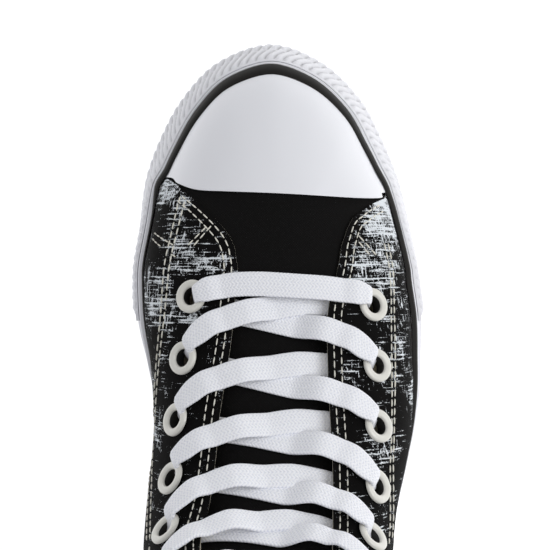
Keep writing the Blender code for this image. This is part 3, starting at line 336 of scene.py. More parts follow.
class Column:
    """A vertical half plane from the ridge line, or a pole, out to the sole's edge."""

    def __init__(self, pole, direction, toe=0.0, heel=0.0):
        self.pole = np.array(pole)
        self.direction = np.array(direction)
        self.toe = toe
        self.heel = heel

    def reach(self, curve):
        """Distance from the pole to a closed curve along the column."""
        away = curve - self.pole
        side = away[:, 0] * self.direction[1] - away[:, 1] * self.direction[0]
        along = away @ self.direction
        following = np.roll(side, -1)
        crossing = (side * following <= 0.0) & (along > 0.0) & (side != following)
        index = int(np.argmax(crossing))
        t = side[index] / (side[index] - following[index])
        return float(along[index] + t * (np.roll(along, -1)[index] - along[index]))

    def place(self, distance, height):
        """A point of the column."""
        x, y = self.pole + self.direction * distance
        return (float(x), float(y), float(height))

    def edge_y(self):
        """Place along Y of the form's edge."""
        return self.place(self.reach(FORM_EDGE), 0.0)[1]

    def belly(self):
        """Widest distance of the form from the pole."""
        foot = self.reach(FORM_EDGE)
        share = share_at(self.pole[1])
        width = width_at(min(share, TOE_POLE))
        if self.toe == 0.0 and self.heel == 0.0:
            side = LATERAL_BELLY(share) if self.direction[0] > 0 else -MEDIAL_BELLY(share)
            ridge = RIDGE_LINE(share) * (1.0 if self.direction[0] > 0 else -1.0)
            return (side - ridge) * width
        flank = self.flank_belly_share()
        return foot * flank - TOE_LEAN * self.toe - self.cap_pinch()

    def flank_belly_share(self):
        """Belly over foot distance, taken from the last cross section beside a pole."""
        start = Column(self.pole, (1.0, 0.0))
        end = Column(self.pole, (-1.0, 0.0))
        shares = []
        for column in (start, end):
            shares.append(column.belly() / column.reach(FORM_EDGE))
        across = 0.5 * (1.0 + self.direction[0])
        flank = shares[0] * across + shares[1] * (1.0 - across)
        ease = max(self.toe, self.heel * 0.5)
        return flank + (1.0 - flank) * ease

    def cap_pinch(self):
        """How far the form is drawn in beside the toe cap."""
        if self.toe <= 0.0:
            return 0.0
        share = share_at(self.edge_y())
        weight = smoothstep((share - CAP_PINCH_START) / CAP_PINCH_REACH)
        weight *= 1.0 - smoothstep((share - CAP_PINCH_END) / CAP_PINCH_FADE)
        return weight * (CAP_PINCH_LATERAL if self.direction[0] > 0.0 else CAP_PINCH_MEDIAL)

    def pinch(self, height):
        """Inward shift of the shaft round the ankle, most at the back."""
        share = share_at(self.pole[1])
        side = ANKLE_SIDE * (1.0 - smoothstep((share - ANKLE_SIDE_START) / ANKLE_SIDE_REACH))
        weight = side + (1.0 - side) * self.heel ** 2 if self.toe == 0.0 else 0.0
        offset = (height - ANKLE_HEIGHT * SHAFT_HEIGHT) / ANKLE_REACH
        return ANKLE_PINCH * weight * math.exp(-offset * offset)

    def fullness(self):
        """Exponent of the upper part of the section."""
        return FULLNESS(share_at(self.edge_y() if self.toe > 0.0 else self.pole[1]))

    def profile(self, foot_height=None, steps=48):
        """Dense curve of the form from its foot to the ridge, as distance and height."""
        foot_y = self.edge_y()
        foot = self.reach(FORM_EDGE)
        low = sole_top(foot_y) + CLEARANCE if foot_height is None else foot_height
        high = belly_height(foot_y)
        belly = self.belly()
        power = 2.0 / self.fullness()
        curve = []
        for step in range(12):
            t = step / 12
            curve.append((foot + (belly - foot) * smoothstep(t), low + (high - low) * t))
        for step in range(steps + 1):
            angle = 0.5 * math.pi * step / steps
            distance = belly * max(math.cos(angle), 0.0) ** power
            roof = roof_height(self.place(distance, 0.0)[1])
            height = high + (roof - high) * math.sin(angle) ** power
            curve.append((distance, height))
        curve[-1] = (0.0, curve[-1][1])
        return np.array([(max(r - self.pinch(z), 0.0), z) for r, z in curve])

    def at_height(self, height):
        """Distance of the form from the pole at a height beside the sole."""
        curve = self.profile()
        return float(np.interp(height, curve[:30, 1], curve[:30, 0]))


def make_columns(stations, toe_steps, heel_steps):
    """All columns in order: lateral side, toe, medial side and heel."""
    columns = []
    for share in stations:
        columns.append(Column((ridge_x(y_at(share)), y_at(share)), (1.0, 0.0)))
    pole = (ridge_x(y_at(TOE_POLE)), y_at(TOE_POLE))
    for step in range(1, toe_steps):
        angle = math.pi * step / toe_steps
        direction = (math.cos(angle), math.sin(angle))
        columns.append(Column(pole, direction, toe=math.sin(angle)))
    for share in reversed(stations):
        columns.append(Column((ridge_x(y_at(share)), y_at(share)), (-1.0, 0.0)))
    for step in range(1, heel_steps):
        angle = math.pi + math.pi * step / heel_steps
        direction = (math.cos(angle), math.sin(angle))
        columns.append(Column((0.0, 0.0), direction, heel=-math.sin(angle)))
    return columns


def weld(grid, closed):
    """Index the points of a grid of columns, sharing the points that coincide.

    All grids of the form use the same diagonals, so that their skins stay parallel.
    """
    index = {}
    points = []
    table = []
    for column in grid:
        row = []
        for point in column:
            key = tuple(round(value, 6) for value in point)
            if key not in index:
                index[key] = len(points)
                points.append(point)
            row.append(index[key])
        table.append(row)
    faces = []
    count = len(table)
    for i in range(count if closed else count - 1):
        here, there = table[i], table[(i + 1) % count]
        for j in range(len(here) - 1):
            near, far = [here[j], there[j], there[j + 1]], [here[j], there[j + 1], here[j + 1]]
            for corners in (near, far):
                if len(set(corners)) == 3:
                    faces.append(corners)
    return np.array(points), faces, table


def surface_normals(points, faces):
    """Normals at the points, averaged over the faces by area."""
    normals = np.zeros_like(points)
    for face in faces:
        corners = points[face]
        following = np.roll(corners, -1, axis=0)
        area = np.cross(corners, following).sum(axis=0)
        for corner in face:
            normals[corner] += area
    return normals / np.linalg.norm(normals, axis=1)[:, None]


def form_height(x, y):
    """Height of the form's surface above a place beside the ridge line."""
    share = share_at(y)
    width = width_at(min(share, TOE_POLE))
    ridge = RIDGE_LINE(share)
    side = LATERAL_BELLY(share) - ridge if x > ridge * width else ridge - MEDIAL_BELLY(share)
    ratio = min(abs(x - ridge * width) / (side * width), 1.0)
    power = FULLNESS(share)
    high = belly_height(y)
    return high + (roof_height(y) - high) * (1.0 - ratio ** power) ** (1.0 / power)

# Rear edge of the toe cap: shares of the ball width and of the length
CAP_EDGE = (
    (-0.450, 0.831), (-0.299, 0.828), (-0.262, 0.819), (-0.197, 0.810), (-0.099, 0.807),
    (0.076, 0.804), (0.241, 0.801), (0.344, 0.800), (0.415, 0.802), (0.432, 0.8095),
    (0.620, 0.813),
)
CAP_MARGIN = 0.0025
# Front and throat edges of the two quarters: shares of the ball width and of the length
MEDIAL_EDGE = (
    (-0.249, 0.811), (-0.197, 0.796), (-0.149, 0.780), (-0.115, 0.767), (-0.089, 0.755),
    (-0.072, 0.742), (-0.065, 0.730), (-0.059, 0.713), (-0.068, 0.678), (-0.079, 0.630),
    (-0.100, 0.578), (-0.115, 0.540), (-0.122, 0.504), (-0.140, 0.450), (-0.162, 0.417),
    (-0.155, 0.390), (-0.145, 0.345), (-0.140, 0.300),
)
LATERAL_EDGE = (
    (0.426, 0.8015), (0.379, 0.793), (0.344, 0.784), (0.317, 0.777), (0.300, 0.767),
    (0.285, 0.753), (0.273, 0.740), (0.266, 0.723), (0.256, 0.707), (0.228, 0.663),
    (0.227, 0.595), (0.231, 0.552), (0.238, 0.489), (0.235, 0.437), (0.232, 0.417),
    (0.225, 0.390), (0.210, 0.345), (0.200, 0.300),
)
VAMP_REAR = 0.688
VAMP_STATIONS = 5
# Lines of the eyelets: share of the length, then the medial and lateral place
# between the ridge and the belly
EYELET_LINE = (
    (0.310, 0.640, 0.630),
    (0.346, 0.700, 0.690),
    (0.364, 0.745, 0.730),
    (0.386, 0.773, 0.750),
    (0.414, 0.785, 0.772),
    (0.471, 0.791, 0.758),
    (0.537, 0.780, 0.713),
    (0.607, 0.709, 0.701),
    (0.680, 0.627, 0.688),
    (0.720, 0.600, 0.670),
)
EYELET_START = {-1: 0.681, 1: 0.671}
MEDIAL_LINE = table_curve(EYELET_LINE, 1)
LATERAL_LINE = table_curve(EYELET_LINE, 2)
# Laces in plan: share of the way across, then how far the upper strand of a crossing,
# its lower strand and the bar have moved on from their row, in rows
LACE_PATHS = (
    (0.00, 0.080, 0.030, -0.060),
    (0.12, 0.070, 0.120, -0.170),
    (0.25, 0.045, 0.220, -0.220),
    (0.38, 0.060, 0.305, -0.210),
    (0.50, 0.120, 0.380, -0.180),
    (0.60, 0.195, 0.435, -0.155),
    (0.70, 0.285, 0.490, -0.135),
    (0.78, 0.375, 0.555, -0.115),
    (0.85, 0.480, 0.645, -0.090),
    (0.92, 0.660, 0.800, -0.055),
    (1.00, 0.930, 0.970, -0.020),
)
UPPER_STRAND = table_curve(LACE_PATHS, 1)
LOWER_STRAND = table_curve(LACE_PATHS, 2)
BAR_STRAND = table_curve(LACE_PATHS, 3)
# Where the upper strand of a crossing climbs on the lower one, and where each climbs on
# the other quarter
LACE_CROSSING_CLIMB = (0.28, 0.42)
UPPER_STRAND_CLIMB = (0.52, 0.70)
LOWER_STRAND_CLIMB = (0.56, 0.74)
LACE_CLEARANCE = 0.0006
LACE_CROSSING_LIFT = 0.80
LACE_SEAT_START = 0.79
BAR_SEAT_START = 0.32
LACE_SEAT_REACH = 0.08
LACE_SEARCH = (-0.012, 0.030)
# Stations of the tongue
TONGUE_STATIONS = (
    0.712, 0.700, 0.688, 0.660, 0.620, 0.580, 0.540, 0.500, 0.470,
    0.445, 0.425, 0.410, 0.398, 0.388, 0.378, 0.368, 0.358, 0.348, 0.338, 0.326,
)
TONGUE_SEWN_REACH = 0.04
TONGUE_SPREAD = 2.2
TONGUE_CORNER_SET = 0.002
# Collar line: share of the length and drop below the top of the shaft
COLLAR_LINE = ((0.55, 0.0), (0.34, 0.0), (0.25, 0.0045), (0.14, 0.0060), (-0.05, 0.0045))


def plan(points):
    """Points in plan from shares of the ball width and of the length."""
    return [(x * BALL_WIDTH, y_at(share)) for x, share in points]


def surface_point(x, y, offset=0.0):
    """A point off the form's upper side, with the normal there."""
    step = 0.0004
    slope_x = (form_height(x + step, y) - form_height(x - step, y)) / (2.0 * step)
    slope_y = (form_height(x, y + step) - form_height(x, y - step)) / (2.0 * step)
    normal = Vector((-slope_x, -slope_y, 1.0)).normalized()
    return Vector((x, y, form_height(x, y))) + normal * offset, normal


def eyelet_track(side):
    """Dense line of the eyelets on the form, with its length from the first eyelet."""
    points = []
    for step in range(401):
        share = 0.720 - (0.720 - 0.310) * step / 400
        ridge = RIDGE_LINE(share)
        if side < 0:
            x = ridge - MEDIAL_LINE(share) * (ridge - MEDIAL_BELLY(share))
        else:
            x = ridge + LATERAL_LINE(share) * (LATERAL_BELLY(share) - ridge)
        y = y_at(share)
        points.append((x * width_at(min(share, TOE_POLE)), y))
    points = [(x, y, form_height(x, y)) for x, y in points]
    points = np.array(points)
    steps = np.linalg.norm(np.diff(points, axis=0), axis=1)
    along = np.concatenate(([0.0], np.cumsum(steps)))
    start = np.interp(-y_at(EYELET_START[side]), -points[:, 1], along)
    return along - start, points

EYELET_TRACKS = {side: eyelet_track(side) for side in (-1, 1)}


def eyelet_place(side, row):
    """A point of an eyelet line at a row number, which may lie between two rows."""
    along, points = EYELET_TRACKS[side]
    distance = (row - 1.0) * EYELET_PITCH
    return Vector([float(np.interp(distance, along, points[:, axis])) for axis in range(3)])


def across_row(row, share):
    """Place in plan on the line over the instep between the two eyelets of a row.

    The share runs from the medial eyelet, 0, to the lateral one, 1.
    """
    medial, lateral = eyelet_place(-1, row), eyelet_place(1, row)
    ahead = eyelet_place(-1, row - 0.2) + eyelet_place(1, row - 0.2)
    behind = eyelet_place(-1, row + 0.2) + eyelet_place(1, row + 0.2)
    direction = (ahead - behind).normalized()
    middle = (medial + lateral) * 0.5
    x = medial.x + (lateral.x - medial.x) * share
    low, high = middle.y + LACE_SEARCH[0], middle.y + LACE_SEARCH[1]
    for _ in range(40):
        y = 0.5 * (low + high)
        offset = Vector((x, y, form_height(x, y))) - middle
        if offset.dot(direction) > 0.0:
            high = y
        else:
            low = y
    return x, 0.5 * (low + high)


def rise_round(place, axis, radius):
    """How far the form rises over its tangent plane within a radius of a place."""
    turn = axis.to_track_quat("Z", "Y").to_matrix()
    rise = 0.0
    for step in range(12):
        angle = 2.0 * math.pi * step / 12
        rim = place + turn @ Vector((radius * math.cos(angle), radius * math.sin(angle), 0.0))
        ground = Vector((rim.x, rim.y, form_height(rim.x, rim.y)))
        rise = max(rise, (ground - place).dot(axis))
    return rise


def seat_rise(side, row):
    """How far an eyelet's flange is lifted by the bend of the canvas under it."""
    spot = eyelet_place(side, row)
    place, axis = surface_point(spot.x, spot.y)
    return rise_round(place, axis, EYELET_RADIUS)


def tongue_depth(y):
    """Depth of the tongue's face under the form: sewn under the vamp, then below the laces."""
    laced = UPPER_WALL + LACE_THICKNESS + 2.0 * LACE_CLEARANCE
    sewn = UPPER_WALL + CLEARANCE
    ease = smoothstep((share_at(y) - VAMP_REAR) / TONGUE_SEWN_REACH)
    return laced + (sewn - laced) * ease


def climb(share, reach):
    """Ease from 0 to 1 between two shares of the way across."""
    return smoothstep((share - reach[0]) / (reach[1] - reach[0]))


def lace_height(share, over, rise):
    """Height of a strand's middle over the form, from its start to its end."""
    under = -(UPPER_WALL + LACE_CLEARANCE + 0.5 * LACE_THICKNESS)
    above = OVERLAY_STEP + LACE_CLEARANCE + 0.5 * LACE_THICKNESS
    lift = LACE_CROSSING_LIFT * LACE_THICKNESS if over else 0.0
    height = under + lift * climb(share, LACE_CROSSING_CLIMB)
    last = climb(share, UPPER_STRAND_CLIMB if over else LOWER_STRAND_CLIMB)
    height += (above - under - lift) * last
    seat = smoothstep((share - LACE_SEAT_START) / LACE_SEAT_REACH)
    return height + (EYELET_FLANGE + LACE_CLEARANCE + rise) * seat



# Finer sampling of the same form, for the pieces that are seen
FINE = 4
FINE_TOE = 96
FINE_HEEL = 48
FINE_ROWS = 56


def fine_stations():
    """Stations between those of the model, in the same order."""
    shares = []
    for here, there in zip(STATIONS[:-1], STATIONS[1:]):
        for step in range(FINE):
            shares.append(here + (there - here) * step / FINE)
    return shares + [STATIONS[-1]]


FINE_STATIONS = fine_stations()
FINE_COLUMNS = make_columns(FINE_STATIONS, FINE_TOE, FINE_HEEL)
FINE_PROFILES = [column.profile() for column in FINE_COLUMNS]


def arc_lengths(curve):
    """Length along a curve at each of its points."""
    steps = np.linalg.norm(np.diff(curve, axis=0), axis=1)
    return np.concatenate(([0.0], np.cumsum(steps)))


def fine_grid(indices, rows, low_drop=0.0):
    """Grid of the form on fine columns, with its second row level with the foxing."""
    grid = []
    for index in indices:
        column, curve = FINE_COLUMNS[index], FINE_PROFILES[index]
        along = arc_lengths(curve)
        first = np.interp(foxing_top(column.edge_y()), curve[:40, 1], along[:40])
        lengths = [0.0] + [first + (along[-1] - first) * j / rows for j in range(rows + 1)]
        places = zip(np.interp(lengths, along, curve[:, 0]), np.interp(lengths, along, curve[:, 1]))
        points = [column.place(r, z) for r, z in places]
        if low_drop:
            points.insert(0, column.place(curve[0][0], curve[0][1] - low_drop))
        grid.append(points)
    return grid


def new_object(name, points, faces, materials, indices=None, sharp=45, merge=1e-7):
    """A shaded object from points, faces and the material index of each face."""
    mesh = bpy.data.meshes.new(name)
    mesh.from_pydata([tuple(point) for point in points], [], faces)
    for finish in materials:
        mesh.materials.append(finish)
    if indices is not None:
        mesh.polygons.foreach_set("material_index", indices)
    work = bmesh.new()
    work.from_mesh(mesh)
    bmesh.ops.remove_doubles(work, verts=work.verts, dist=merge)
    bmesh.ops.recalc_face_normals(work, faces=work.faces)
    work.to_mesh(mesh)
    work.free()
    made = bpy.data.objects.new(name, mesh)
    bpy.context.scene.collection.objects.link(made)
    mesh.shade_smooth()
    if sharp:
        mesh.set_sharp_from_angle(angle=math.radians(sharp))
    return made


def skinned(name, grid, closed, inner, outer, materials, flat_rows=()):
    """Closed solid between two offsets of a grid: outer skin, inner skin, then rim."""
    points, faces, table = weld(grid, closed)
    normals = surface_normals(points, faces)
    for row in table:
        for j in flat_rows:
            normals[row[j]][2] = 0.0
            normals[row[j]] /= np.linalg.norm(normals[row[j]])
    inside = np.array((0.0, y_at(0.3), FOREFOOT_THICKNESS))
    if np.sum((points - inside) * normals) < 0.0:
        normals = -normals
    skins = []
    for amount in (outer, inner):
        values = [amount(point) if callable(amount) else amount for point in points]
        skins.append(points + normals * np.array(values)[:, None])
    count = len(points)
    solid = list(skins[0]) + list(skins[1])
    all_faces = list(faces) + [[corner + count for corner in reversed(face)] for face in faces]
    indices = [0] * len(faces) + [min(1, len(materials) - 1)] * len(faces)
    edges = set()
    for face in faces:
        for a, b in zip(face, face[1:] + face[:1]):
            edges.add((a, b))
    for a, b in edges:
        if (b, a) not in edges:
            all_faces.append([b, a, a + count, b + count])
            indices.append(min(2, len(materials) - 1))
    return new_object(name, solid, all_faces, materials, indices)


def prism(name, outline, low, high, axis, finish):
    """Outline extruded along an axis, to cut with."""
    points = []
    for level in (low, high):
        for a, b in outline:
            point = [a, b]
            point.insert(axis, level)
            points.append(point)
    count = len(outline)
    faces = [list(range(count)), list(reversed(range(count, 2 * count)))]
    for i in range(count):
        j = (i + 1) % count
        faces.append([i, j, j + count, i + count])
    return new_object(name, points, faces, [finish], sharp=0)


def boolean(target, tool, operation="DIFFERENCE"):
    """Apply a Boolean whose new faces keep the tool's material."""
    modifier = target.modifiers.new(tool.name, "BOOLEAN")
    modifier.operation = operation
    modifier.solver = "EXACT"
    modifier.material_mode = "TRANSFER"
    modifier.object = tool
    bpy.context.view_layer.update()
    evaluated = target.evaluated_get(bpy.context.evaluated_depsgraph_get())
    mesh = bpy.data.meshes.new_from_object(evaluated)
    target.modifiers.clear()
    target.data = mesh
    bpy.data.objects.remove(tool)


def smooth_outline(points, steps=8, closed=False):
    """Dense open Catmull-Rom line through points of any dimension."""
    points = [np.array(point, dtype=float) for point in points]
    if closed:
        padded = [points[-1]] + points + points[:2]
    else:
        padded = [2 * points[0] - points[1]] + points + [2 * points[-1] - points[-2]]
    dense = []
    for a, b, c, d in zip(padded, padded[1:], padded[2:], padded[3:]):
        for step in range(steps):
            t = step / steps
            dense.append(0.5 * (2 * b + (c - a) * t + (2 * a - 5 * b + 4 * c - d) * t * t
                                + (3 * b - a - 3 * c + d) * t ** 3))
    if not closed:
        dense.append(points[-1])
    return [tuple(point) for point in dense]


def socket_value(tree, target, value):
    """Link a socket, or set its number or colour."""
    if isinstance(value, bpy.types.NodeSocket):
        tree.links.new(value, target)
    else:
        target.default_value = value


def calc(tree, operation, a, b=0.0, c=0.0):
    """A Math node's result."""
    node = tree.nodes.new("ShaderNodeMath")
    node.operation = operation
    for index, value in enumerate((a, b, c)):
        socket_value(tree, node.inputs[index], value)
    return node.outputs[0]


def ease_between(tree, value, low, high, to_low=0.0, to_high=1.0):
    """Smooth step of a value between two limits."""
    node = tree.nodes.new("ShaderNodeMapRange")
    node.interpolation_type = "SMOOTHSTEP"
    for index, number in enumerate((value, low, high, to_low, to_high)):
        socket_value(tree, node.inputs[index], number)
    return node.outputs[0]


def noise(tree, per_mm, detail=2.0, roughness=0.5, seed=0.0):
    """Noise whose frequency along X, Y and Z is given per millimetre."""
    place = tree.nodes.new("ShaderNodeTexCoord")
    turn = tree.nodes.new("ShaderNodeMapping")
    turn.inputs["Scale"].default_value = [1000.0 * value for value in per_mm]
    turn.inputs["Location"].default_value = (seed, seed * 0.7, seed * 0.3)
    tree.links.new(place.outputs["Object"], turn.inputs["Vector"])
    node = tree.nodes.new("ShaderNodeTexNoise")
    node.inputs["Scale"].default_value = 1.0
    node.inputs["Detail"].default_value = detail
    node.inputs["Roughness"].default_value = roughness
    tree.links.new(turn.outputs[0], node.inputs["Vector"])
    return node.outputs["Fac"]


def blend_colours(tree, share, first, second):
    """Mix of two colours by a share."""
    node = tree.nodes.new("ShaderNodeMix")
    node.data_type = "RGBA"
    socket_value(tree, node.inputs["Factor"], share)
    for name, colour in (("A", first), ("B", second)):
        target = [s for s in node.inputs if s.name == name and s.type == "RGBA"][0]
        socket_value(tree, target, colour)
    return [s for s in node.outputs if s.type == "RGBA"][0]


def weave(tree, pitch_mm):
    """Height of a plain weave, seen square to whichever way the cloth faces."""
    place = tree.nodes.new("ShaderNodeTexCoord")
    face = tree.nodes.new("ShaderNodeNewGeometry")
    split, facing = (tree.nodes.new("ShaderNodeSeparateXYZ") for _ in range(2))
    tree.links.new(place.outputs["Object"], split.inputs[0])
    tree.links.new(face.outputs["Normal"], facing.inputs[0])
    turns = 2000.0 * math.pi / pitch_mm
    waves = [calc(tree, "SINE", calc(tree, "MULTIPLY", split.outputs[k], turns)) for k in range(3)]
    total = None
    for k in range(3):
        a, b = waves[(k + 1) % 3], waves[(k + 2) % 3]
        cloth = calc(tree, "MULTIPLY", a, b)
        share = calc(tree, "POWER", calc(tree, "ABSOLUTE", facing.outputs[k]), 3.0)
        part = calc(tree, "MULTIPLY", cloth, share)
        total = part if total is None else calc(tree, "ADD", total, part)
    return calc(tree, "MULTIPLY_ADD", total, 0.5, 0.5)


def bumped(tree, shader, height, depth):
    """Give a shader a bump of a depth in metres."""
    node = tree.nodes.new("ShaderNodeBump")
    node.inputs["Strength"].default_value = 1.0
    node.inputs["Distance"].default_value = depth
    tree.links.new(height, node.inputs["Height"])
    tree.links.new(node.outputs[0], shader.inputs["Normal"])


def plain(name, colour, roughness, metallic=0.0, specular=0.5):
    """A Principled material and its tree and shader."""
    made = bpy.data.materials.new(name)
    made.use_nodes = True
    shader = made.node_tree.nodes["Principled BSDF"]
    shader.inputs["Base Color"].default_value = (*colour, 1.0)
    shader.inputs["Roughness"].default_value = roughness
    shader.inputs["Metallic"].default_value = metallic
    shader.inputs["Specular IOR Level"].default_value = specular
    return made, made.node_tree, shader


BLACK_CLOTH = (0.0035, 0.0032, 0.0032)
# Painted highlight on the crowns of the black canvas's threads
THREAD_HIGHLIGHT = (0.014, 0.0135, 0.0135)
PRINT_WHITE = (0.74, 0.78, 0.82)
CREAM = (0.70, 0.65, 0.54)
# Share of the rubber's colour left in the grooves between ribs: painted shade
PAINTED_GROOVE_SHADE = 0.52
PAINT_WEIGHT = 0.60
PAINT_LEVEL = 0.60
PAINT_SOFT = 0.035


def black_canvas():
    """Plain black canvas with its weave and a painted highlight on the crowns of its threads."""
    made, tree, shader = plain("canvas_plain", BLACK_CLOTH, 0.92, specular=0.15)
    cloth = weave(tree, 0.84)
    # Painted highlight: the crowns of the weave are lightened, in patches set by noise
    highlight_noise = noise(tree, (0.9, 0.9, 0.9), 3.0, seed=4.0)
    crown, highlight_spread = ease_between(tree, cloth, 0.62, 1.0), ease_between(tree, highlight_noise, 0.35, 0.7)
    top = calc(tree, "MULTIPLY", crown, highlight_spread)
    colour = blend_colours(tree, top, (*BLACK_CLOTH, 1.0), (*THREAD_HIGHLIGHT, 1.0))
    tree.links.new(colour, shader.inputs["Base Color"])
    bumped(tree, shader, cloth, 0.00012)
    return made


def printed_canvas():
    """Black canvas with white paint dragged over it along and across the shoe."""
    made, tree, shader = plain("canvas_printed", BLACK_CLOTH, 0.9, specular=0.1)
    cloth = weave(tree, 0.84)
    across = noise(tree, (0.085, 1.5, 0.085), 4.0, 0.6, 1.0)
    along = noise(tree, (1.4, 0.11, 1.4), 4.0, 0.6, 7.0)
    blot = noise(tree, (0.22, 0.22, 0.22), 3.0, 0.55, 13.0)
    grain = noise(tree, (2.2, 2.2, 2.2), 2.0, 0.6, 21.0)
    coat = tree.nodes.new("ShaderNodeAttribute")
    coat.attribute_name = "paint"
    strokes = calc(tree, "MAXIMUM", across, calc(tree, "SUBTRACT", along, 0.03))
    level = calc(tree, "MULTIPLY", calc(tree, "SUBTRACT", strokes, 0.5), 2.4)
    level = calc(tree, "MULTIPLY_ADD", calc(tree, "SUBTRACT", blot, 0.5), 0.9, level)
    level = calc(tree, "MULTIPLY_ADD", calc(tree, "SUBTRACT", grain, 0.5), 0.8, level)
    level = calc(tree, "MULTIPLY_ADD", cloth, 0.08, level)
    level = calc(tree, "MULTIPLY_ADD", coat.outputs["Fac"], PAINT_WEIGHT, level)
    share = ease_between(tree, level, PAINT_LEVEL - PAINT_SOFT, PAINT_LEVEL + PAINT_SOFT)
    colour = blend_colours(tree, share, (*BLACK_CLOTH, 1.0), (*PRINT_WHITE, 1.0))
    tree.links.new(colour, shader.inputs["Base Color"])
    height = calc(tree, "MULTIPLY_ADD", share, 0.35, cloth)
    bumped(tree, shader, height, 0.00012)
    return made


def cloth_material(name, colour, pitch_mm, depth, roughness=0.9):
    """Cloth of one colour with its weave."""
    made, tree, shader = plain(name, colour, roughness, specular=0.2)
    bumped(tree, shader, weave(tree, pitch_mm), depth)
    return made


def rubber_material(name, colour, roughness, grain=0.00002, specular=0.5):
    """Smooth moulded rubber with a faint unevenness, greyer in the grooves between ribs as painted shade.
    """
    made, tree, shader = plain(name, colour, roughness, specular=specular)
    hollow = tree.nodes.new("ShaderNodeAttribute")
    hollow.attribute_name = "hollow"
    # Painted shade: the colour is greyed where the hollow attribute marks a rib groove
    groove_shade_colour = (*(PAINTED_GROOVE_SHADE * part for part in colour), 1.0)
    tree.links.new(blend_colours(tree, hollow.outputs["Fac"], (*colour, 1.0), groove_shade_colour),
                   shader.inputs["Base Color"])
    bumped(tree, shader, noise(tree, (0.5, 0.5, 0.5), 3.0, 0.5, 3.0), grain)
    return made


def lace_material():
    """White flat lace: a braid of slanting ribs, in four bands that slant in turn, with painted shade in
    its grooves.
    """
    made, tree, shader = plain("lace_cotton", (0.86, 0.87, 0.92), 0.85, specular=0.2)
    strip = tree.nodes.new("ShaderNodeUVMap")
    strip.uv_map = "strip"
    split = tree.nodes.new("ShaderNodeSeparateXYZ")
    tree.links.new(strip.outputs[0], split.inputs[0])
    along, across = split.outputs[0], split.outputs[1]
    band = calc(tree, "PINGPONG", across, 1.0)
    slope = calc(tree, "MULTIPLY_ADD", band, 0.95, along)
    wander = noise(tree, (0.5, 0.5, 0.5), 2.0, 0.5, 31.0)
    slope = calc(tree, "MULTIPLY_ADD", wander, 0.8, slope)
    ribs = calc(tree, "SINE", calc(tree, "MULTIPLY", slope, 2.0 * math.pi / 1.2))
    seam = calc(tree, "SINE", calc(tree, "MULTIPLY", band, math.pi))
    height = calc(tree, "MULTIPLY_ADD", ribs, 0.35, calc(tree, "MULTIPLY_ADD", seam, 0.3, 0.35))
    # Painted shade: the lace is darker and bluer where the braid sinks between its ribs and bands
    shade = ease_between(tree, height, 0.05, 0.55)
    colour = blend_colours(tree, shade, (0.78, 0.80, 0.88, 1.0), (0.93, 0.94, 0.98, 1.0))
    tree.links.new(colour, shader.inputs["Base Color"])
    bumped(tree, shader, height, 0.00013)
    return made


PLAIN = black_canvas()
PRINT = printed_canvas()
RAW_EDGE = cloth_material("raw_edge", CREAM, 0.6, 0.0001)
LINING = cloth_material("lining", (0.50, 0.46, 0.38), 0.7, 0.00008)
CAP_RUBBER = rubber_material("cap_rubber", (0.84, 0.85, 0.895), 0.40)
SIDE_RUBBER = rubber_material("side_rubber", (0.82, 0.825, 0.87), 0.45)
BAND_RUBBER = rubber_material("band_rubber", (0.010, 0.009, 0.008), 0.6, specular=0.22)
SOLE_RUBBER = rubber_material("sole_rubber", (0.66, 0.65, 0.64), 0.6, grain=0.0001)
ENAMEL = plain("eyelet_enamel", (0.74, 0.73, 0.68), 0.28, 0.0, 0.6)[0]
LACE = lace_material()
# Near-black eyelet barrel: painted shade inside the holes, in place of the enamel's own colour
BARREL_PAINTED_SHADE = plain("eyelet_barrel_painted_shade", (0.035, 0.034, 0.032), 0.5, 0.6)[0]
THREAD = plain("thread", (0.80, 0.78, 0.70), 0.8)[0]
INSOLE = cloth_material("insole_cloth", (0.62, 0.58, 0.50), 0.8, 0.0001)


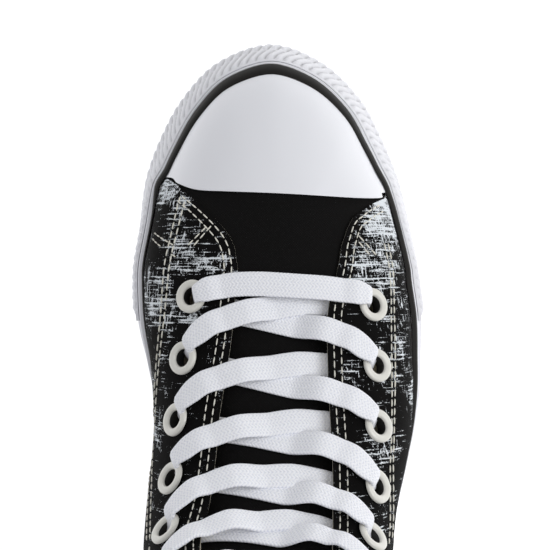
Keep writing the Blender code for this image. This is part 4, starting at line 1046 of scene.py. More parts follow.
# Paint on the quarters: middle and reach along X, Y and Z in
# millimetres, then its strength. A reach of 0 means any place along that axis.
STROKES = (
    (-29.5, 187, 0, 4.5, 5.0, 0, 1.0), (-24.6, 181, 0, 3.5, 5.5, 0, 0.9),
    (-24.5, 166, 0, 5.0, 6.0, 0, 0.85), (-16.0, 162, 0, 8.5, 3.6, 0, 0.8),
    (-33.0, 151, 0, 7.0, 10.0, 0, 0.75), (-25.0, 145, 0, 8.5, 2.4, 0, 0.75),
    (-33.2, 109, 0, 3.5, 6.0, 0, 0.75), (-20.0, 172, 0, 5.0, 4.0, 0, 0.45),
    (-33.0, 128, 0, 6.0, 8.0, 0, 0.35), (-30.0, 90, 0, 8.0, 7.0, 0, 0.35),
    (41.5, 177, 0, 6.5, 12.0, 0, 1.05), (39.3, 162, 0, 10.0, 11.0, 0, 0.8),
    (45.1, 147, 0, 5.5, 9.0, 0, 0.6), (46.7, 137, 0, 3.0, 3.5, 0, 0.8),
    (44.3, 128.5, 0, 6.0, 7.5, 0, 0.65), (31.3, 127.5, 0, 4.5, 5.0, 0, 0.6),
    (39.8, 103.5, 0, 7.5, 5.0, 0, 0.65), (37.0, 85, 0, 8.0, 7.0, 0, 0.4),
    (50, 118, 45, 7, 10, 9, 0.75), (50, 88, 42, 8, 14, 7, 0.7), (45, 62, 60, 10, 9, 14, 0.7),
    (42, 38, 95, 12, 12, 10, 0.7), (40, 20, 45, 12, 14, 9, 0.8), (38, 50, 130, 14, 10, 12, 0.6),
    (36, 5, 120, 12, 12, 14, 0.6), (40, 70, 35, 10, 12, 6, 0.7), (35, -5, 75, 12, 12, 12, 0.7),
    (-42, 120, 42, 9, 12, 8, 0.7), (-38, 88, 40, 9, 13, 8, 0.75), (-36, 60, 62, 10, 11, 12, 0.6),
    (-36, 35, 96, 12, 12, 10, 0.75), (-34, 18, 45, 12, 14, 9, 0.75), (-34, 42, 132, 12, 11, 10, 0.6),
    (-34, 2, 120, 12, 12, 14, 0.65), (-36, 66, 34, 10, 12, 6, 0.7), (-34, -6, 78, 12, 12, 12, 0.6),
    (0, -30, 110, 16, 10, 16, 0.65), (0, -32, 50, 18, 10, 12, 0.7),
)
PAINT_EVERYWHERE = 0.12

# Soft creases: middle in millimetres, the direction that the crease
# runs in, its length, its half width and its depth, positive for a ridge
CREASES = (
    ((-30, 136, 50), (0.2, 0.9, 0.3), 26, 3.6, -0.55), ((44, 134, 48), (-0.1, 0.9, 0.3), 28, 3.8, -0.60),
    ((48, 112, 44), (0.0, 0.8, -0.5), 22, 3.2, -0.50), ((-36, 104, 46), (0.1, 0.8, -0.5), 22, 3.2, -0.50),
    ((0, 182, 52), (1.0, 0.0, 0.0), 36, 3.0, -0.25), ((6, 174, 56), (1.0, 0.15, 0.0), 34, 2.6, 0.22),
    ((-36, 62, 70), (0.1, 0.7, 0.7), 30, 4.5, -0.9), ((40, 62, 70), (-0.1, 0.7, 0.7), 30, 4.5, -0.9),
    ((-33, 30, 84), (0.0, 1.0, 0.1), 36, 5.0, -1.1), ((36, 28, 86), (0.0, 1.0, 0.05), 36, 5.0, -1.0),
    ((-33, 22, 104), (0.0, 1.0, -0.15), 30, 4.2, -0.7), ((36, 24, 106), (0.0, 1.0, -0.2), 32, 4.2, -0.8),
    ((-33, 28, 94), (0.0, 1.0, 0.0), 34, 3.4, 0.7), ((36, 26, 96), (0.0, 1.0, 0.0), 34, 3.4, 0.7),
    ((0, -26, 92), (1.0, 0.0, 0.1), 30, 5.0, -0.9), ((3, -27, 72), (1.0, 0.0, -0.1), 24, 4.0, -0.5),
    ((-34, 0, 128), (0.1, 0.5, 0.9), 26, 4.0, -0.7), ((35, 4, 130), (0.0, 0.4, 0.9), 26, 4.0, -0.7),
    ((50, 84, 40), (0.0, 1.0, 0.1), 30, 3.6, -0.45), ((-36, 80, 42), (0.0, 1.0, 0.1), 26, 3.4, -0.45),
)


def crease_shift(points):
    """How far each point is moved outwards by the creases, in metres."""
    shift = np.zeros(len(points))
    for middle, direction, length, width, depth in CREASES:
        direction = np.array(direction) / np.linalg.norm(direction)
        away = points * 1000.0 - np.array(middle)
        along = away @ direction
        side = np.linalg.norm(away - np.outer(along, direction), axis=1)
        fade = np.exp(-(2.0 * along / length) ** 2) * np.exp(-(side / width) ** 2)
        shift += 0.001 * depth * fade
    return shift


def paint_coat(points):
    """How much paint lies on the cloth at each point."""
    coat = np.full(len(points), PAINT_EVERYWHERE)
    for *numbers, strength in STROKES:
        middle, reach = np.array(numbers[:3]), np.array(numbers[3:])
        used = reach > 0
        away = (points[:, used] * 1000.0 - middle[used]) / reach[used]
        coat = np.maximum(coat, strength * np.exp(-np.sum(np.abs(away) ** 2.6, axis=1) * 0.6))
    return coat


def vertex_array(mesh):
    """The places of a mesh's vertices."""
    values = np.empty(3 * len(mesh.vertices))
    mesh.vertices.foreach_get("co", values)
    return values.reshape(-1, 3)


def make_upper():
    """The hollow upper: printed quarters over a plain vamp, lined, with cream cut edges."""
    count = len(FINE_STATIONS)
    grid = fine_grid(range(len(FINE_COLUMNS)), FINE_ROWS)
    upper = skinned("upper_cloth", grid, True, -UPPER_WALL, OVERLAY_STEP,
                    [PRINT, LINING, RAW_EDGE, PLAIN], flat_rows=(0,))
    front = count - 1 - (VAMP_STATIONS - 1) * FINE
    columns = range(front, 2 * count + FINE_TOE - 1 - front)
    skin = skinned("vamp_skin", fine_grid(columns, FINE_ROWS, low_drop=0.004), False,
                   0.0, 0.006, [PLAIN], flat_rows=(0, 1))
    margin = [(x, share - CAP_MARGIN) for x, share in CAP_EDGE]
    medial, lateral = list(MEDIAL_EDGE), list(LATERAL_EDGE)
    vamp = margin[:2] + smooth_outline([margin[2]] + medial[:8])
    vamp += [(-0.0655, VAMP_REAR + 0.0005), (-0.050, VAMP_REAR - 0.010)]
    vamp += [(0.210, VAMP_REAR - 0.010), (0.2435, VAMP_REAR + 0.0005)]
    vamp += smooth_outline(list(reversed(lateral[:9]))) + margin[-2:] + [(0.62, 1.05), (-0.45, 1.05)]
    boolean(skin, prism("vamp_outline", plan(vamp), 0.004, SHAFT_HEIGHT, 2, RAW_EDGE), "INTERSECT")
    boolean(upper, skin)
    rear = [point for point in smooth_outline(medial) if point[1] < VAMP_REAR]
    throat = list(reversed(rear)) + smooth_outline(
        [(-0.066, VAMP_REAR), (0.000, VAMP_REAR + 0.0045), (0.090, VAMP_REAR + 0.006),
         (0.180, VAMP_REAR + 0.0045), (0.244, VAMP_REAR)])
    throat += [point for point in smooth_outline(lateral) if point[1] < VAMP_REAR]
    boolean(upper, prism("throat", plan(throat), 0.5 * INSTEP_HEIGHT, 2.0 * SHAFT_HEIGHT, 2, RAW_EDGE))
    line = smooth_outline([(y_at(share), SHAFT_HEIGHT - drop) for share, drop in COLLAR_LINE])
    ends = COLLAR_LINE[-1][0], COLLAR_LINE[0][0]
    line += [(y_at(share), 2.0 * SHAFT_HEIGHT) for share in ends]
    boolean(upper, prism("collar", line, -BALL_WIDTH, BALL_WIDTH, 0, PRINT))
    boolean(upper, eyelet_plugs())
    mesh = upper.data
    points = vertex_array(mesh)
    outer = np.zeros(len(points), dtype=bool)
    names = [slot.name for slot in mesh.materials]
    for polygon in mesh.polygons:
        if names[polygon.material_index] in ("canvas_printed", "canvas_plain"):
            for index in polygon.vertices:
                outer[index] = True
    normals = np.empty(3 * len(mesh.vertices))
    mesh.vertices.foreach_get("normal", normals)
    shift = crease_shift(points) * outer
    points = points + normals.reshape(-1, 3) * shift[:, None]
    mesh.vertices.foreach_set("co", points.ravel())
    coat = mesh.attributes.new("paint", "FLOAT", "POINT")
    coat.data.foreach_set("value", paint_coat(points))
    mesh.update()
    mesh.shade_smooth()
    mesh.set_sharp_from_angle(angle=math.radians(38))
    return upper


def eyelet_spots():
    """Place and normal of each eyelet."""
    for side in (-1, 1):
        for row in range(1, EYELET_ROWS + 1):
            spot = eyelet_place(side, row)
            yield surface_point(spot.x, spot.y)


def turned_pieces(name, profile_at, sides, materials, closed=True):
    """One mesh of a profile turned round each eyelet's axis."""
    points, faces = [], []
    for place, axis in eyelet_spots():
        turn = axis.to_track_quat("Z", "Y").to_matrix()
        profile = profile_at(place, axis)
        base, size = len(points), len(profile)
        for step in range(sides):
            angle = 2.0 * math.pi * step / sides
            for radius, height in profile:
                local = Vector((radius * math.cos(angle), radius * math.sin(angle), height))
                points.append(place + turn @ local)
        for step in range(sides):
            here, there = base + step * size, base + ((step + 1) % sides) * size
            for j in range(size if closed else size - 1):
                k = (j + 1) % size
                faces.append([here + j, there + j, there + k, here + k])
        if not closed:
            faces.append([base + step * size for step in range(sides)])
            faces.append([base + step * size + size - 1 for step in reversed(range(sides))])
    return new_object(name, points, faces, materials, sharp=50)


def eyelet_plugs():
    """The holes of the eyelets, to cut with."""
    radius = EYELET_HOLE_RADIUS + EYELET_BARREL + CLEARANCE
    profile = ((radius, -4.0 * UPPER_WALL), (radius, 4.0 * UPPER_WALL))
    return turned_pieces("eyelet_plugs", lambda place, axis: profile, 24, [RAW_EDGE], closed=False)


def make_eyelets():
    """Enamelled eyelets with a rolled rim on the top face and a barrel down through the cloth."""
    def profile_at(place, axis):
        seat = OVERLAY_STEP + CLEARANCE + rise_round(place, axis, EYELET_RADIUS)
        foot = -UPPER_WALL - EYELET_BARREL
        barrel = EYELET_HOLE_RADIUS + EYELET_BARREL
        half = 0.5 * (EYELET_RADIUS - EYELET_HOLE_RADIUS)
        profile = [(EYELET_HOLE_RADIUS, foot), (barrel, foot), (barrel, seat), (EYELET_RADIUS, seat)]
        for step in range(1, 12):
            angle = math.pi * step / 12
            radius = EYELET_HOLE_RADIUS + half * (1.0 + math.cos(angle))
            profile.append((radius, seat + (EYELET_FLANGE + 0.00025) * math.sin(angle) ** 0.7))
        profile.append((EYELET_HOLE_RADIUS, seat))
        return profile
    eyelets = turned_pieces("eyelets_enamel", profile_at, 36, [ENAMEL, BARREL_PAINTED_SHADE])
    size = len(profile_at(*surface_point(0.0, y_at(0.6))))
    # The barrel's faces take the near-black painted-shade material
    for index, polygon in enumerate(eyelets.data.polygons):
        if index % size in (0, 1, size - 1):
            polygon.material_index = 1
    return eyelets


def make_cap():
    """Satin rubber toe cap."""
    count = len(FINE_STATIONS)
    grid = fine_grid(range(count - 1, count + FINE_TOE), FINE_ROWS)
    cap = skinned("toe_cap_rubber", grid, False, CLEARANCE, CLEARANCE + CAP_WALL, [CAP_RUBBER],
                  flat_rows=(0,))
    outline = smooth_outline(CAP_EDGE) + [(0.62, 1.05), (-0.45, 1.05)]
    boolean(cap, prism("cap_outline", plan(outline), 0.0, SHAFT_HEIGHT, 2, CAP_RUBBER), "INTERSECT")
    soften = cap.modifiers.new("edge", "BEVEL")
    soften.width = 0.00035
    soften.segments = 2
    soften.limit_method = "ANGLE"
    soften.angle_limit = math.radians(50)
    cap.data.shade_smooth()
    return cap


def loop_solid(name, rings, closed, material, sharp=45):
    """Closed solid from columns that are each a closed loop of points."""
    size, count = len(rings[0]), len(rings)
    points = [point for ring in rings for point in ring]
    faces = []
    for i in range(count if closed else count - 1):
        here, there = i * size, ((i + 1) % count) * size
        for j in range(size):
            k = (j + 1) % size
            faces.append([here + j, there + j, there + k, here + k])
    if not closed:
        faces.append(list(range(size)))
        faces.append([(count - 1) * size + j for j in reversed(range(size))])
    return new_object(name, points, faces, [material], sharp=sharp)


# Outer face of the foxing: share of its height and the step out of its face, in
# millimetres, with two thin raised lines
FOXING_FACE = (
    (0.00, -0.9), (0.015, -0.35), (0.05, 0.0), (0.17, 0.0), (0.175, 0.30), (0.205, 0.30),
    (0.21, 0.0), (0.36, 0.0), (0.50, 0.0), (0.645, 0.0), (0.65, 0.32), (0.685, 0.32),
    (0.70, 0.0), (0.74, -0.60), (0.85, -0.62), (0.94, -0.64), (0.98, -0.80), (1.0, -1.2),
)


def foxing_face(column, level):
    """Distance of the foxing's outer face at a level, without its lines."""
    top = foxing_top(column.edge_y())
    lean = column.at_height(top) - column.reach(FORM_EDGE)
    return column.reach(FOXING_EDGE) + lean * level ** 2


def make_foxing():
    """Rubber band round the side of the sole."""
    rings = []
    for column in FINE_COLUMNS:
        inside, outside = column.reach(FOXING_INSIDE), column.reach(FOXING_EDGE)
        edge_y = column.edge_y()
        low = spring(column.place(outside, 0.0)[1]) + FOXING_BOTTOM_GAP
        top, seat = foxing_top(edge_y), sole_top(edge_y) + CLEARANCE
        lean = column.at_height(top) - column.reach(FORM_EDGE)
        side = 1.0 - 0.7 * toe_ease(share_at(edge_y))
        ring = [column.place(inside, low)]
        for level, step in FOXING_FACE:
            face = column.reach(FOXING_EDGE) + lean * level ** 2 + 0.001 * step * side
            ring.append(column.place(face, low + level * (top - low)))
        ring += [column.place(inside + lean, top), column.place(inside, seat)]
        rings.append(ring)
    return loop_solid("foxing_rubber", rings, True, SIDE_RUBBER, sharp=60)


def make_stripe():
    """Black band above the foxing, broad round the toe."""
    rings = []
    face = ((0.0, 0.6), (0.05, 0.9), (0.12, 1.0), (0.35, 1.0), (0.65, 0.9), (0.88, 0.65), (1.0, 0.2))
    for column, curve in zip(FINE_COLUMNS, FINE_PROFILES):
        along, y = arc_lengths(curve), column.edge_y()
        start = np.interp(foxing_top(y) + CLEARANCE, curve[:40, 1], along[:40])
        end = start + stripe_height(y)
        ring = []
        wall = stripe_wall(column.place(column.reach(FORM_EDGE), 0.0)[0], y)
        for share, out in face:
            s = start + share * (end - start)
            r, z = np.interp(s, along, curve[:, 0]), np.interp(s, along, curve[:, 1])
            ring.append(column.place(r + wrap() + wall * out, z))
        for s in (end, start):
            r, z = np.interp(s, along, curve[:, 0]), np.interp(s, along, curve[:, 1])
            ring.append(column.place(r + wrap(), z))
        rings.append(ring)
    return loop_solid("stripe_rubber", rings, True, BAND_RUBBER, sharp=70)


RIB_STEP = 0.0034
RIB_PROUD = 0.0016
RIB_SLANT = 0.95
BUMPER_COLUMNS = 900
# Face of the bumper: level, depth of the ribs there, how far they have slanted by then,
# in rib steps, and how far the face is set in there, in millimetres
BUMPER_FACE = (
    (0.00, 0.0, 0.0, 0.0), (0.03, 0.0, 0.0, 0.0), (0.06, 0.7, 0.0, 0.0), (0.12, 1.0, 0.2, 0.0),
    (0.20, 1.0, 0.45, 0.0), (0.28, 1.0, 0.7, 0.0), (0.35, 1.0, 0.9, 0.0), (0.40, 0.7, 1.05, 0.0),
    (0.42, 0.0, 1.1, 0.35), (0.45, 0.0, 1.1, 0.35), (0.47, 0.7, 0.0, 0.0), (0.51, 1.0, 0.1, 0.0),
    (0.58, 1.0, 0.35, 0.0), (0.65, 1.0, 0.6, 0.0), (0.72, 1.0, 0.85, 0.0), (0.79, 1.0, 1.1, 0.0),
    (0.85, 1.0, 1.3, 0.0), (0.89, 0.8, 1.45, 0.0), (0.92, 0.3, 1.55, 0.0), (0.94, 0.0, 1.6, 0.25),
)


def make_bumper():
    """Ribbed strip round the toe: two rows of slanting ribs."""
    start = Column((ridge_x(y_at(BUMPER_START)), y_at(BUMPER_START)), (1.0, 0.0))
    first = np.array(start.place(start.reach(SOLE_EDGE), 0.0)[:2])
    end = Column(start.pole, (-1.0, 0.0))
    last = np.array(end.place(end.reach(SOLE_EDGE), 0.0)[:2])
    front = SOLE_EDGE[SOLE_EDGE[:, 1] > start.pole[1]]
    route = np.vstack((first, front, last))
    along = arc_lengths(route)
    pole = np.array((ridge_x(y_at(TOE_POLE)), y_at(TOE_POLE)))
    rings, painted_groove_shades = [], []
    for index in range(BUMPER_COLUMNS):
        distance = along[-1] * index / (BUMPER_COLUMNS - 1)
        place = np.array([np.interp(distance, along, route[:, axis]) for axis in range(2)])
        if place[1] <= pole[1]:
            column = Column((ridge_x(place[1]), place[1]), (math.copysign(1.0, place[0]), 0.0))
        else:
            away = (place - pole) / np.linalg.norm(place - pole)
            column = Column(tuple(pole), tuple(away), toe=float(away[1]))
        edge = column.reach(SOLE_EDGE)
        wall = edge - column.reach(FOXING_EDGE) - CLEARANCE
        low = spring(column.place(edge, 0.0)[1]) + FOXING_BOTTOM_GAP
        rise = foxing_top(column.edge_y()) - low
        fade = smoothstep(min(distance, along[-1] - distance) / 0.004)
        side = 1.0 - 0.7 * toe_ease(share_at(column.edge_y()))
        ring = []
        for level, back in ((0.96, 0.62), (0.83, 0.62), (0.70, 0.0), (0.36, 0.0), (0.0, 0.0)):
            inner = foxing_face(column, level) + 0.5 * CLEARANCE - 0.001 * back * side
            ring.append(column.place(inner, low + level * rise))
            painted_groove_shades.append(0.0)
        levels, shares = zip(*BUMPER_OUTER_LEVELS)
        for level, depth, slant, back in BUMPER_FACE:
            thick = max(wall * float(np.interp(level, levels, shares)), BUMPER_THIN)
            wave = abs(math.sin(math.pi * (distance / RIB_STEP - RIB_SLANT * slant))) ** 0.8
            proud = RIB_PROUD * fade * depth * wave - 0.5 * RIB_PROUD * (1.0 if depth else 0.0)
            # Painted shade: each groove between ribs is marked for greying, most at its bottom
            painted_groove_shades.append(depth * (1.0 - wave) ** 1.4)
            face = foxing_face(column, level) + CLEARANCE + thick + proud - 0.001 * back
            ring.append(column.place(face, low + level * rise))
        rings.append(ring)
    bumper = loop_solid("bumper_rubber", rings, False, SIDE_RUBBER, sharp=75)
    hollow = bumper.data.attributes.new("hollow", "FLOAT", "POINT")
    hollow.data.foreach_set("value", painted_groove_shades)
    return bumper


def make_tongue():
    """Tongue under the laces."""
    stations = [share for share, _ in smooth_outline([(value, 0.0) for value in TONGUE_STATIONS], 5)]
    grid = []
    for share in stations:
        y = y_at(share)
        row = []
        for step in range(41):
            x = ridge_x(y) + (step / 20 - 1.0) * TONGUE_HALF_WIDTH
            row.append((x, y, form_height(x, y)))
        grid.append(row)
    tongue = skinned(
        "tongue_cloth", grid, False,
        lambda p: -tongue_depth(p[1]) - TONGUE_THICKNESS, lambda p: -tongue_depth(p[1]),
        [PLAIN, PLAIN, PLAIN])
    top = SHAFT_HEIGHT + TONGUE_RISE
    middle = ridge_x(y_at(0.36))
    half = 2.0 * TONGUE_HALF_WIDTH
    shoulder = top - TONGUE_SPREAD * TONGUE_CORNER
    outline = [(middle - half, 0.0), (middle + half, 0.0), (middle + half, shoulder)]
    for side, turn in ((1, 0), (-1, 90)):
        for step in range(13):
            angle = math.radians(turn + 7.5 * step)
            centre = middle + side * (TONGUE_HALF_WIDTH - TONGUE_CORNER - TONGUE_CORNER_SET)
            outline.append((centre + TONGUE_CORNER * math.cos(angle),
                            top - TONGUE_CORNER + TONGUE_CORNER * math.sin(angle)))
    outline.append((middle - half, shoulder))
    boolean(tongue, prism("tongue_outline", outline, y_at(0.1), y_at(0.9), 1, PLAIN), "INTERSECT")
    tongue.data.shade_smooth()
    tongue.data.set_sharp_from_angle(angle=math.radians(50))
    return tongue


LACE_SIDES = 20


def lace_section(width, depth, squareness=4.0):
    """Points round the section of a flat lace, across and up."""
    points = []
    for step in range(LACE_SIDES):
        angle = 2.0 * math.pi * (step + 0.5) / LACE_SIDES
        c, s = math.cos(angle), math.sin(angle)
        power = 2.0 / squareness
        points.append((0.5 * width * math.copysign(abs(c) ** power, c),
                       0.5 * depth * math.copysign(abs(s) ** power, s)))
    return points


def sweep_laces(name, routes):
    """One mesh of flat laces, each swept along places with normals, widths and depths."""
    points, faces, strip = [], [], []
    for route in routes:
        places = np.array([tuple(place) for place, _, _, _ in route])
        along = arc_lengths(places) * 1000.0
        base = len(points)
        count = len(route)
        for index, (place, normal, width, depth) in enumerate(route):
            before = Vector(places[max(index - 2, 0)])
            after = Vector(places[min(index + 2, count - 1)])
            tangent = (after - before).normalized()
            side = tangent.cross(normal).normalized()
            face = side.cross(tangent).normalized()
            for across, up in lace_section(width, depth):
                points.append(place + side * across + face * up)
        half = LACE_SIDES
        for i in range(count - 1):
            for j in range(half):
                k = (j + 1) % half
                a = base + i * half
                b = base + (i + 1) * half
                faces.append([a + j, b + j, b + k, a + k])
                section = lace_section(LACE_WIDTH, LACE_THICKNESS)
                u0, u1 = along[i], along[i + 1]
                v0, v1 = section[j][0] * 1000.0, section[k][0] * 1000.0
                strip.extend([(u0, v0), (u1, v0), (u1, v1), (u0, v1)])
        for cap, order in ((0, 1), (count - 1, -1)):
            faces.append([base + cap * half + j for j in range(half)][::order])
            strip.extend([(0.0, 0.0)] * half)
    mesh = bpy.data.meshes.new(name)
    mesh.from_pydata([tuple(point) for point in points], [], faces)
    mesh.materials.append(LACE)
    layer = mesh.uv_layers.new(name="strip")
    layer.data.foreach_set("uv", np.array(strip).ravel())
    mesh.update()
    work = bmesh.new()
    work.from_mesh(mesh)
    bmesh.ops.recalc_face_normals(work, faces=work.faces)
    work.to_mesh(mesh)
    work.free()
    made = bpy.data.objects.new(name, mesh)
    bpy.context.scene.collection.objects.link(made)
    mesh.shade_smooth()
    return made


LACE_POINTS = 110
# A lace's dip into an eyelet, and how much narrower and thicker it is there
LACE_DIP = 0.0052
LACE_DIP_REACH = 0.045
LACE_NARROWING = 0.38
LACE_THICKENING = 0.35
LACE_NARROW_REACH = 0.09
LACE_HIDDEN = 0.03


def lace_girth(past):
    """Width and thickness of a lace that is this share past where it starts to narrow."""
    narrow = smoothstep(past / LACE_NARROW_REACH)
    return LACE_WIDTH * (1.0 - LACE_NARROWING * narrow), LACE_THICKNESS * (1.0 + LACE_THICKENING * narrow)


def strand(row, side, over):
    """A lace from the hole of one row, under the quarter, over the tongue, into the next."""
    rise = seat_rise(-side, row + 1)
    route = []
    for step in range(LACE_POINTS + 1):
        share = LACE_HIDDEN + (1.0 - LACE_HIDDEN) * step / LACE_POINTS
        across = share if side < 0 else 1.0 - share
        moved = UPPER_STRAND(share) if over else LOWER_STRAND(share)
        x, y = across_row(row + moved, across)
        height = lace_height(share, over, rise)
        height -= LACE_DIP * smoothstep((share - 0.955) / LACE_DIP_REACH)
        place, normal = surface_point(x, y, height)
        route.append((place, normal, *lace_girth(share - 0.90)))
    return route


def bar_route():
    """The straight bar over the first row, with both ends in its eyelets."""
    rise = max(seat_rise(-1, 1), seat_rise(1, 1))
    route = []
    for step in range(LACE_POINTS + 1):
        share = step / LACE_POINTS
        x, y = across_row(1 + BAR_STRAND(share), share)
        edge = abs(share - 0.5)
        height = OVERLAY_STEP + LACE_CLEARANCE + 0.5 * LACE_THICKNESS
        flange = EYELET_FLANGE + LACE_CLEARANCE + rise
        height += flange * smoothstep((edge - BAR_SEAT_START) / LACE_SEAT_REACH)
        height -= LACE_DIP * smoothstep((edge - 0.455) / LACE_DIP_REACH)
        place, normal = surface_point(x, y, height)
        route.append((place, normal, *lace_girth(edge - 0.40)))
    return route


# Seams on the top of the quarters: shares of the ball width and of the length
MEDIAL_OUTER = (
    (-0.263, 0.8069), (-0.279, 0.7649), (-0.286, 0.7421), (-0.292, 0.7193), (-0.301, 0.6679),
    (-0.312, 0.6213), (-0.322, 0.5647), (-0.334, 0.4983), (-0.333, 0.4479), (-0.328, 0.4019),
)
MEDIAL_INNER = (
    (-0.243, 0.7995), (-0.259, 0.7647), (-0.267, 0.7456), (-0.275, 0.7193), (-0.287, 0.668),
    (-0.300, 0.6216), (-0.313, 0.5653), (-0.322, 0.4983), (-0.320, 0.4479), (-0.315, 0.4019),
)
LATERAL_OUTER = (
    (0.434, 0.7471), (0.438, 0.6858), (0.438, 0.636), (0.436, 0.5858), (0.428, 0.523),
    (0.422, 0.4853), (0.420, 0.4306), (0.412, 0.400),
)
LATERAL_INNER = (
    (0.419, 0.747), (0.428, 0.6858), (0.426, 0.6362), (0.425, 0.586), (0.42, 0.5233),
    (0.412, 0.4853), (0.408, 0.4306), (0.400, 0.400),
)
DIAGONALS = (
    ((-0.159, 0.7654), (-0.241, 0.7335)), ((-0.143, 0.7665), (-0.221, 0.7323)),
    ((-0.348, 0.7597), (-0.265, 0.742)), ((-0.351, 0.7525), (-0.251, 0.7264)),
    ((0.331, 0.7548), (0.388, 0.7288)), ((0.328, 0.7477), (0.367, 0.7288)),
)
STITCH_PITCH = 0.0031
STITCH_LENGTH = 0.0024
STITCH_WIDTH = 0.00050
STITCH_HEIGHT = 0.00040
STITCH_SEARCH = 0.006
# Distances of the double seams from the quarter's edge, from the collar and from the
# middle of the back, with the seam's lowest and highest millimetre there
EDGE_SEAMS = (0.0017, 0.0040)
COLLAR_SEAMS = (0.0022, 0.0046)
BACK_SEAMS = (-0.0022, 0.0022)
BACK_SEAM_RANGE = (29, 144)
SHAFT_SEAMS = (0.085, 0.115)
SHAFT_SEAM_ROWS = (5.0, 8.35)
SHAFT_SEAM_POINTS = 40


def shifted(line, distance):
    """A line in plan moved sideways, to the left of its direction."""
    line = np.array(line)
    tangent = np.gradient(line, axis=0)
    tangent /= np.linalg.norm(tangent, axis=1)[:, None]
    return line + distance * np.stack((-tangent[:, 1], tangent[:, 0]), axis=1)


def stitch_mesh(name, seams, surface):
    """One mesh of raised stitches along seams that are laid on a surface."""
    points, faces = [], []
    rounds, rings = 6, 4
    for seam in seams:
        seam = np.array(seam)
        along = arc_lengths(seam)
        count = int(along[-1] / STITCH_PITCH)
        for index in range(count):
            middle = (index + 0.5) * STITCH_PITCH
            ends = []
            for sign in (-0.5, 0.5):
                s = middle + sign * STITCH_LENGTH
                ends.append(Vector([float(np.interp(s, along, seam[:, k])) for k in range(3)]))
            centre = (ends[0] + ends[1]) * 0.5
            found, normal, _, far = surface.find_nearest(centre)
            if found is None or far > STITCH_SEARCH:
                continue
            first = surface.find_nearest(ends[0])[0]
            second = surface.find_nearest(ends[1])[0]
            if first is None or second is None:
                continue
            tangent = (second - first).normalized()
            side = tangent.cross(normal).normalized()
            up = side.cross(tangent).normalized()
            if up.dot(normal) < 0.0:
                up, side = -up, -side
            base = len(points)
            length = (second - first).length * 0.5
            centre = (first + second) * 0.5 + up * STITCH_HEIGHT * 0.25
            for ring in range(rings + 1):
                t = math.pi * ring / rings
                reach, girth = -math.cos(t) * length, max(math.sin(t), 0.12) ** 0.6
                for step in range(rounds):
                    a = 2.0 * math.pi * step / rounds
                    points.append(centre + tangent * reach
                                  + side * (0.5 * STITCH_WIDTH * girth * math.cos(a))
                                  + up * (0.5 * STITCH_HEIGHT * 1.6 * girth * math.sin(a)))
            for ring in range(rings):
                for step in range(rounds):
                    k = (step + 1) % rounds
                    a, b = base + ring * rounds, base + (ring + 1) * rounds
                    faces.append([a + step, a + k, b + k, b + step])
            faces.append([base + step for step in reversed(range(rounds))])
            faces.append([base + rings * rounds + step for step in range(rounds)])
    return new_object(name, points, faces, [THREAD], sharp=0)


def lifted(line):
    """Places on the form over points in plan."""
    return [(x, y, form_height(x, y)) for x, y in line]


def shaft_seam(side, share):
    """A seam beside the eyelets, up the front of the shaft."""
    first, last = SHAFT_SEAM_ROWS
    places = []
    for step in range(SHAFT_SEAM_POINTS):
        row = first + (last - first) * step / (SHAFT_SEAM_POINTS - 1)
        x, y = across_row(row, -share if side < 0 else 1.0 + share)
        places.append((x, y, form_height(x, y)))
    return places


def round_shaft(drop):
    """A line round the shaft below its collar."""
    line = smooth_outline([(y_at(share), SHAFT_HEIGHT - fall) for share, fall in COLLAR_LINE], 12)
    line = sorted(line)
    ys, zs = [p[0] for p in line], [p[1] for p in line]
    places = []
    for column, curve in zip(FINE_COLUMNS, FINE_PROFILES):
        y = float(column.pole[1])
        if column.toe > 0.0 or y > y_at(0.36):
            continue
        height = float(np.interp(y, ys, zs)) - drop
        r = float(np.interp(height, curve[:, 1], curve[:, 0])) + OVERLAY_STEP
        places.append(column.place(r, height))
    split = max(range(len(places)), key=lambda i: np.linalg.norm(
        np.array(places[i]) - np.array(places[(i + 1) % len(places)])))
    return places[split + 1:] + places[:split + 1]


def seam_lines():
    """Every seam on the quarters, as places close to the cloth."""
    seams = []
    for edge, sign in ((MEDIAL_EDGE, 1.0), (LATERAL_EDGE, -1.0)):
        dense = plan(smooth_outline(edge, 6))
        for distance in EDGE_SEAMS:
            line = shifted(dense, -sign * distance)
            seams.append(lifted([p for p in line if p[1] > y_at(0.375)]))
    for line in (MEDIAL_OUTER, MEDIAL_INNER, LATERAL_OUTER, LATERAL_INNER) + DIAGONALS:
        seams.append(lifted(plan(smooth_outline(line, 6) if len(line) > 2 else line)))
    for side in (-1, 1):
        for share in SHAFT_SEAMS:
            seams.append(shaft_seam(side, share))
    for drop in COLLAR_SEAMS:
        seams.append(round_shaft(drop))
    for x in BACK_SEAMS:
        seams.append([(x, -HEEL_BACK, z * 0.001) for z in range(*BACK_SEAM_RANGE)])
    return seams


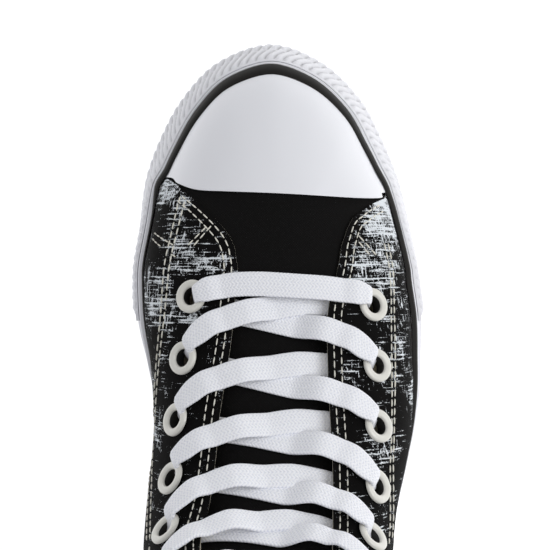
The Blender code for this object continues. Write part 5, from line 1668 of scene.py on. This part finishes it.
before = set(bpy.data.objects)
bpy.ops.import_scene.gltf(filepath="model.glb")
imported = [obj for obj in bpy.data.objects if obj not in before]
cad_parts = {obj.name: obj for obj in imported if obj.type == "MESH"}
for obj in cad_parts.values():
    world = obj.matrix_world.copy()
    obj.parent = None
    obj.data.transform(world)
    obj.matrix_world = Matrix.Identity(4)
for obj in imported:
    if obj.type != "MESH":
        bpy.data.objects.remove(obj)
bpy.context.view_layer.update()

upper = make_upper()
surface = BVHTree.FromObject(upper, bpy.context.evaluated_depsgraph_get())
pieces = [
    (upper, "black_canvas", ["upper"]),
    (make_cap(), "white_rubber", ["toe_cap"]),
    (make_foxing(), "white_rubber", ["foxing"]),
    (make_stripe(), "black_rubber", ["foxing_stripe"]),
    (make_bumper(), "white_rubber", ["toe_bumper"]),
    (make_tongue(), "black_canvas", ["tongue"]),
    (make_eyelets(), "enamelled_metal",
     [f"eyelet_{word}_{row}" for word in ("left", "right") for row in range(1, EYELET_ROWS + 1)]),
    (sweep_laces("lace_bar_woven", [bar_route()]), "white_cotton", ["lace_bar"]),
]
for row in range(1, EYELET_ROWS):
    crossing = sweep_laces(f"lace_crossing_{row}_woven", [strand(row, 1, True), strand(row, -1, False)])
    pieces.append((crossing, "white_cotton", [f"lace_crossing_{row}"]))
pieces.append((stitch_mesh("stitches", seam_lines(), surface), "white_cotton", []))
for piece, slot, nodes in pieces:
    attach(piece, "root")
    if nodes:
        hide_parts(*nodes)

for name, finish in (("outsole", SOLE_RUBBER), ("insole", INSOLE)):
    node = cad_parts[name]
    for index in range(max(len(node.material_slots), 1)):
        if not node.material_slots:
            node.data.materials.append(finish)
        node.material_slots[index].material = finish


def make_floor():
    """Plain pale floor."""
    bpy.ops.mesh.primitive_plane_add(size=6.0, location=(0.0, 0.0, 0.0))
    floor = bpy.context.object
    floor.name = "floor"
    made, _, shader = plain("floor_white", (0.92, 0.92, 0.92), 1.0, specular=0.0)
    shader.inputs["Emission Color"].default_value = (1.0, 1.0, 1.0, 1.0)
    shader.inputs["Emission Strength"].default_value = 0.62
    floor.data.materials.append(made)


def add_light(name, place, target, size, power, colour=(1.0, 1.0, 1.0)):
    """A soft square light that faces a target."""
    data = bpy.data.lights.new(name, "AREA")
    data.size = size
    data.energy = power
    data.color = colour
    lamp = bpy.data.objects.new(name, data)
    lamp.location = place
    lamp.rotation_euler = (Vector(target) - Vector(place)).to_track_quat("-Z", "Y").to_euler()
    bpy.context.scene.collection.objects.link(lamp)


make_floor()
add_light("key", (0.90, 0.25, 0.95), (0.0, 0.13, 0.04), 0.8, 7.5)
add_light("fill", (-0.8, 0.35, 0.9), (0.0, 0.13, 0.04), 1.2, 1.7, (0.93, 0.94, 1.0))
add_light("top", (0.1, 0.2, 1.5), (0.0, 0.13, 0.04), 1.4, 2.2)
world = bpy.context.scene.world or bpy.data.worlds.new("world")
bpy.context.scene.world = world
world.use_nodes = True
world.node_tree.nodes["Background"].inputs["Color"].default_value = (1.0, 1.0, 1.0, 1.0)
world.node_tree.nodes["Background"].inputs["Strength"].default_value = 0.35
bpy.context.scene.view_settings.view_transform = "Standard"

view = bpy.data.cameras.new("photo")
view.sensor_width = 36.0
view.lens = 36.0 * FOCAL_PIXELS / PHOTO_PIXELS
view.clip_start = 0.01
camera = bpy.data.objects.new("photo", view)
camera.location = CAMERA_PLACE
camera.rotation_euler = (0.0, 0.0, 0.0)
bpy.context.scene.collection.objects.link(camera)
bpy.context.scene.camera = camera
